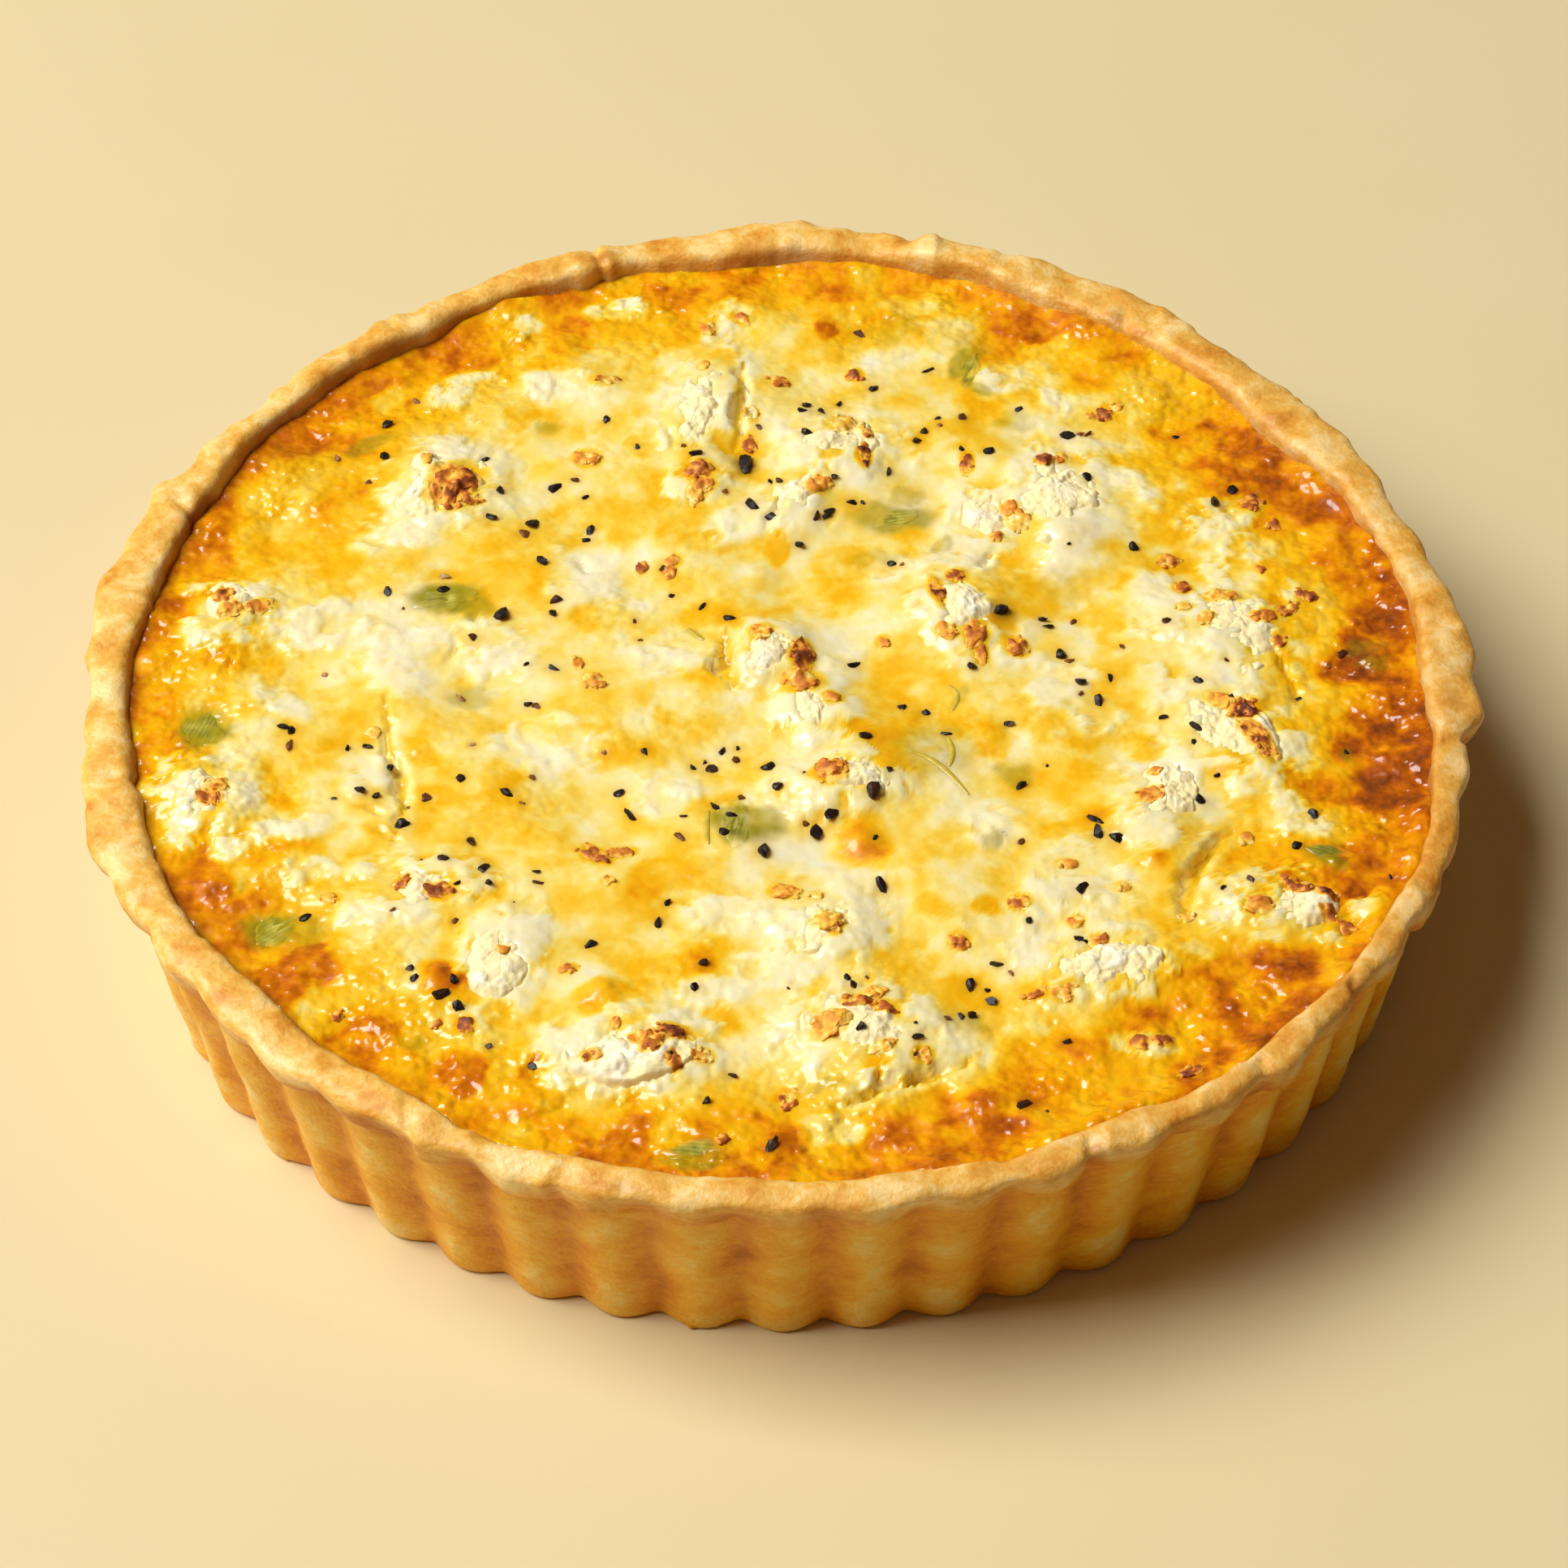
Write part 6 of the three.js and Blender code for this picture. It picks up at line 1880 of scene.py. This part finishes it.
@dataclass
class LeekStrands:
    """Loose fibres of leek that lie on the custard."""

    filling: Filling
    paths: tuple = (
        ((20.5, -18), (24, -19.4), (27, -22.4), (29.6, -26.2)), ((26.6, -14), (27.2, -17), (26.6, -20.5)),
        ((27, -2.5), (28.4, -5), (27.4, -8)), ((-14.6, 11), (-13.2, 9.2), (-12, 8)),
        ((-10.9, -30), (-11.2, -34), (-10.8, -37.5)))
    half_width: float = 0.5
    steps: int = 40
    sides: int = 10

    def build(self, finish: Material) -> Object:
        """Makes the strands: a flat oval section carried along a smooth path through each set of points.

        Args:
            finish: Cooked leek.

        Returns:
            The piece, with the values across, depth, fade and bake for each point.
        """
        parts = []
        for path in self.paths:
            ends = np.array(path, float)
            t = np.linspace(0.0, len(ends) - 1.0, self.steps)
            fit = np.polynomial.polynomial.polyfit(np.arange(len(ends)), ends, len(ends) - 1)
            x, y = np.polynomial.polynomial.polyval(t, fit)
            side = np.gradient(np.stack([x, y], -1), axis=0)
            side = np.stack([-side[:, 1], side[:, 0]], -1) / np.linalg.norm(side, axis=1, keepdims=True)
            width = self.half_width * np.sin(math.pi * np.linspace(0.04, 0.96, self.steps)) ** 0.5
            angle = np.arange(self.sides) * 2.0 * math.pi / self.sides
            off = width[:, None] * np.cos(angle)[None]
            z = self.filling.on_top(x, y)[:, None] + 0.02 + 0.35 * width[:, None] * np.sin(angle)[None]
            points = spatial(x[:, None] + off * side[:, :1], y[:, None] + off * side[:, 1:], z)
            tips = spatial(x[[0, -1]], y[[0, -1]], self.filling.on_top(x[[0, -1]], y[[0, -1]]))
            faces = [face[:, ::-1] for face in ring_faces(self.steps, self.sides)]
            blank = np.zeros(self.steps * self.sides + 2)
            values = {"across": np.append(off.ravel(), [0.0, 0.0]), "depth": blank - 0.12,
                      "fade": blank + 0.45, "bake": blank + 0.3}
            parts.append(Surface(np.concatenate([points.reshape(-1, 3), tips]), faces, values))
        strands = joined(parts).make("leek_strands", finish)
        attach(strands, "root")
        return strands


@dataclass
class CrackedPepper:
    """The pepper: chips of peppercorn, each a ball cut flat by a few planes."""

    filling: Filling
    planes: int = 6
    section: tuple[float, float, float] = (0.8, 0.58, 0.4)
    seed: int = 2027

    def build(self, finish: Material) -> Object:
        """Makes one piece of all the grains.

        A grain reaches, in each direction, as far as the nearest of its cutting planes, or to the ball.

        Args:
            finish: Cracked pepper.

        Returns:
            The piece, with the value pale for each point.
        """
        dice = np.random.default_rng(self.seed)
        ball = sphere(1)
        parts = []
        for grain in GRAINS:
            cuts = dice.normal(size=(self.planes, 3))
            cuts /= np.linalg.norm(cuts, axis=1, keepdims=True)
            depth = dice.uniform(0.25, 0.6, self.planes)
            facing = np.maximum(ball.points @ cuts.T, 1e-3)
            reach = np.minimum((depth / facing).min(axis=1), 1.0)
            section = np.array(self.section) * dice.uniform(0.75, 1.25, 3)
            shape = ball.points * reach[:, None] * section * grain.size
            angle = dice.uniform(0, 2 * math.pi)
            c, s = math.cos(angle), math.sin(angle)
            px, py, pz = shape.T
            turned = np.stack([px * c - py * s, px * s + py * c, pz], -1)
            lean = dice.uniform(-0.3, 0.3, 2)
            turned[:, 2] += turned[:, 0] * lean[0] + turned[:, 1] * lean[1]
            z = float(self.filling.on_top(np.array([grain.x]), np.array([grain.y]))[0])
            points = turned + np.array([grain.x, grain.y, z + 0.04 * grain.size])
            tone = np.full(len(points), grain.pale + dice.uniform(0.0, 0.12))
            parts.append(Surface(points, ball.faces, {"pale": tone}))
        pepper = joined(parts).make("cracked_pepper", finish, smooth=False)
        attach(pepper, "root")
        return pepper


@dataclass
class FallenCrumbs:
    """Flakes of pastry that have come off at the foot of the case and lie against it."""

    case: PastryCase
    places: tuple = ((262.5, 0.5, 1.0), (264.4, 0.4, 0.7), (300.0, 0.5, 0.9), (338.0, 0.4, 0.8),
                     (222.0, 0.4, 0.7))
    section: tuple[float, float, float] = (1.0, 0.8, 0.6)
    seed: int = 99

    def build(self, finish: Material) -> Object:
        """Makes one piece of all the flakes: small rough balls that stand on the table.

        Args:
            finish: Baked shortcrust.

        Returns:
            The piece, with the values rim, brown_and_shade and painted_valley_shade for each point.
        """
        dice = np.random.default_rng(self.seed)
        ball = sphere(1)
        parts = []
        for at, out, size in self.places:
            radius = float(self.case.wall_radius(np.array(at), 0.0)) - self.case.foot_round + out
            rough = 1.0 + 0.2 * dice.uniform(-1, 1, (len(ball.points), 1))
            points = ball.points * np.array(self.section) * size * rough + polar(radius, at)
            points[:, 2] -= points[:, 2].min()
            blank = np.zeros(len(points))
            # The flakes take the case's tones through the same values, with much of the flute-valley painted
            # shade.
            values = {"rim": blank, "brown_and_shade": blank + 0.15, "painted_valley_shade": blank + 0.6}
            parts.append(Surface(points, ball.faces, values))
        flakes = joined(parts).make("fallen_pastry_flakes", finish)
        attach(flakes, "root")
        return flakes


# -------------------------------- table, light and camera


@dataclass
class Studio:
    """The table, the lights and the camera."""

    table_side: float = 4.0
    focal: float = 100.0
    sensor: float = 36.0
    elevation: float = 46.449
    distance: float = 0.7306
    target: tuple[float, float, float] = (0.000777, 0.01095, 0.0)
    roll: float = -0.2746
    room_tint: str = "FFDCB0"
    room_strength: float = 0.09

    def table(self, finish: Material) -> Object:
        """A plain square table top at the foot of the case.

        Args:
            finish: Cream paper.

        Returns:
            The table top.
        """
        half = self.table_side / 2.0 / MM
        corners = np.array([[-half, -half, 0.0], [half, -half, 0.0], [half, half, 0.0], [-half, half, 0.0]])
        top = Surface(corners, [np.array([[0, 1, 2, 3]])]).make("table_top", finish)
        return top

    def light(self, name: str, azimuth: float, elevation: float, distance: float, side: float, watts: float,
              tint: str) -> None:
        """Adds a square soft light that faces the middle of the table.

        Args:
            name: Name of the light.
            azimuth: Direction that it stands in, in degrees from +X.
            elevation: Its angle above the table.
            distance: Metres from the middle.
            side: Side of the square in metres.
            watts: Power.
            tint: Colour as sRGB hex.
        """
        lamp = bpy.data.lights.new(name, "AREA")
        lamp.shape, lamp.size, lamp.energy, lamp.color = "SQUARE", side, watts, colour(tint)[:3]
        a, e = math.radians(azimuth), math.radians(elevation)
        back = np.array([math.cos(e) * math.cos(a), math.cos(e) * math.sin(a), math.sin(e)])
        across = np.array([-math.sin(a), math.cos(a), 0.0])
        frame = np.eye(4)
        frame[:3, :3] = np.stack([across, np.cross(back, across), back], axis=1)
        frame[:3, 3] = back * distance
        holder = bpy.data.objects.new(name, lamp)
        holder.matrix_world = Matrix(frame.tolist())
        bpy.context.scene.collection.objects.link(holder)

    def camera(self) -> None:
        """Adds the camera: it looks at the target along +Y and down, with a slight roll."""
        e, roll = math.radians(self.elevation), math.radians(self.roll)
        back = np.array([0.0, -math.cos(e), math.sin(e)])
        right = np.array([1.0, 0.0, 0.0])
        up = np.cross(right, -back)
        c, s = math.cos(roll), math.sin(roll)
        frame = np.eye(4)
        frame[:3, :3] = np.stack([c * right + s * up, -s * right + c * up, back], axis=1)
        frame[:3, 3] = np.array(self.target) + back * self.distance
        lens = bpy.data.cameras.new("camera")
        lens.lens, lens.sensor_width, lens.sensor_fit = self.focal, self.sensor, "HORIZONTAL"
        lens.clip_start, lens.clip_end = 0.01, 20.0
        holder = bpy.data.objects.new("camera", lens)
        holder.matrix_world = Matrix(frame.tolist())
        bpy.context.scene.collection.objects.link(holder)
        bpy.context.scene.camera = holder

    def build(self) -> None:
        """Sets up table, lights, camera and the plain view transform."""
        self.table(TabletopFinish().make())
        self.light("softbox", azimuth=178.0, elevation=55.0, distance=2.8, side=1.8, watts=110.0,
                   tint="FBFDFF")
        world = bpy.data.worlds.new("room")
        bpy.context.scene.world = world
        tree = new_tree(world)
        glow = add(tree, "Background", {"Color": self.room_tint, "Strength": self.room_strength})
        add(tree, "OutputWorld", {"Surface": glow})
        self.camera()
        bpy.context.scene.view_settings.view_transform = "Standard"


# -------------------------------- all together


def main() -> None:
    """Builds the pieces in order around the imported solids."""
    logging.basicConfig(level=logging.INFO, format="%(message)s")
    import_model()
    crust = ShortcrustFinish().make()
    cheese = CheeseFinish("toasted_goat_cheese").make()
    leek = LeekFinish().make()
    case = PastryCase()
    filling = Filling(case)
    case.build(crust)
    EggCustard(filling).build(CustardFinish().make())
    for index, chunk in enumerate(CHEESE):
        GoatCheese(filling, index, chunk).build(f"goat_cheese_{index + 1:02d}", cheese)
    for index, leaf in enumerate(LEEK):
        LeekSlice(filling, leaf).build(f"leek_{index + 1:02d}", leek)
    LeekStrands(filling).build(leek)
    ToastedCrumbs(filling).build(CheeseFinish("toasted_cheese_crumbs", glow=0.1).make())
    CrackedPepper(filling).build(PepperFinish().make())
    FallenCrumbs(case).build(crust)
    Studio().build()
    LOG.info("all pieces are in place")


if __name__ == "__main__":
    main()
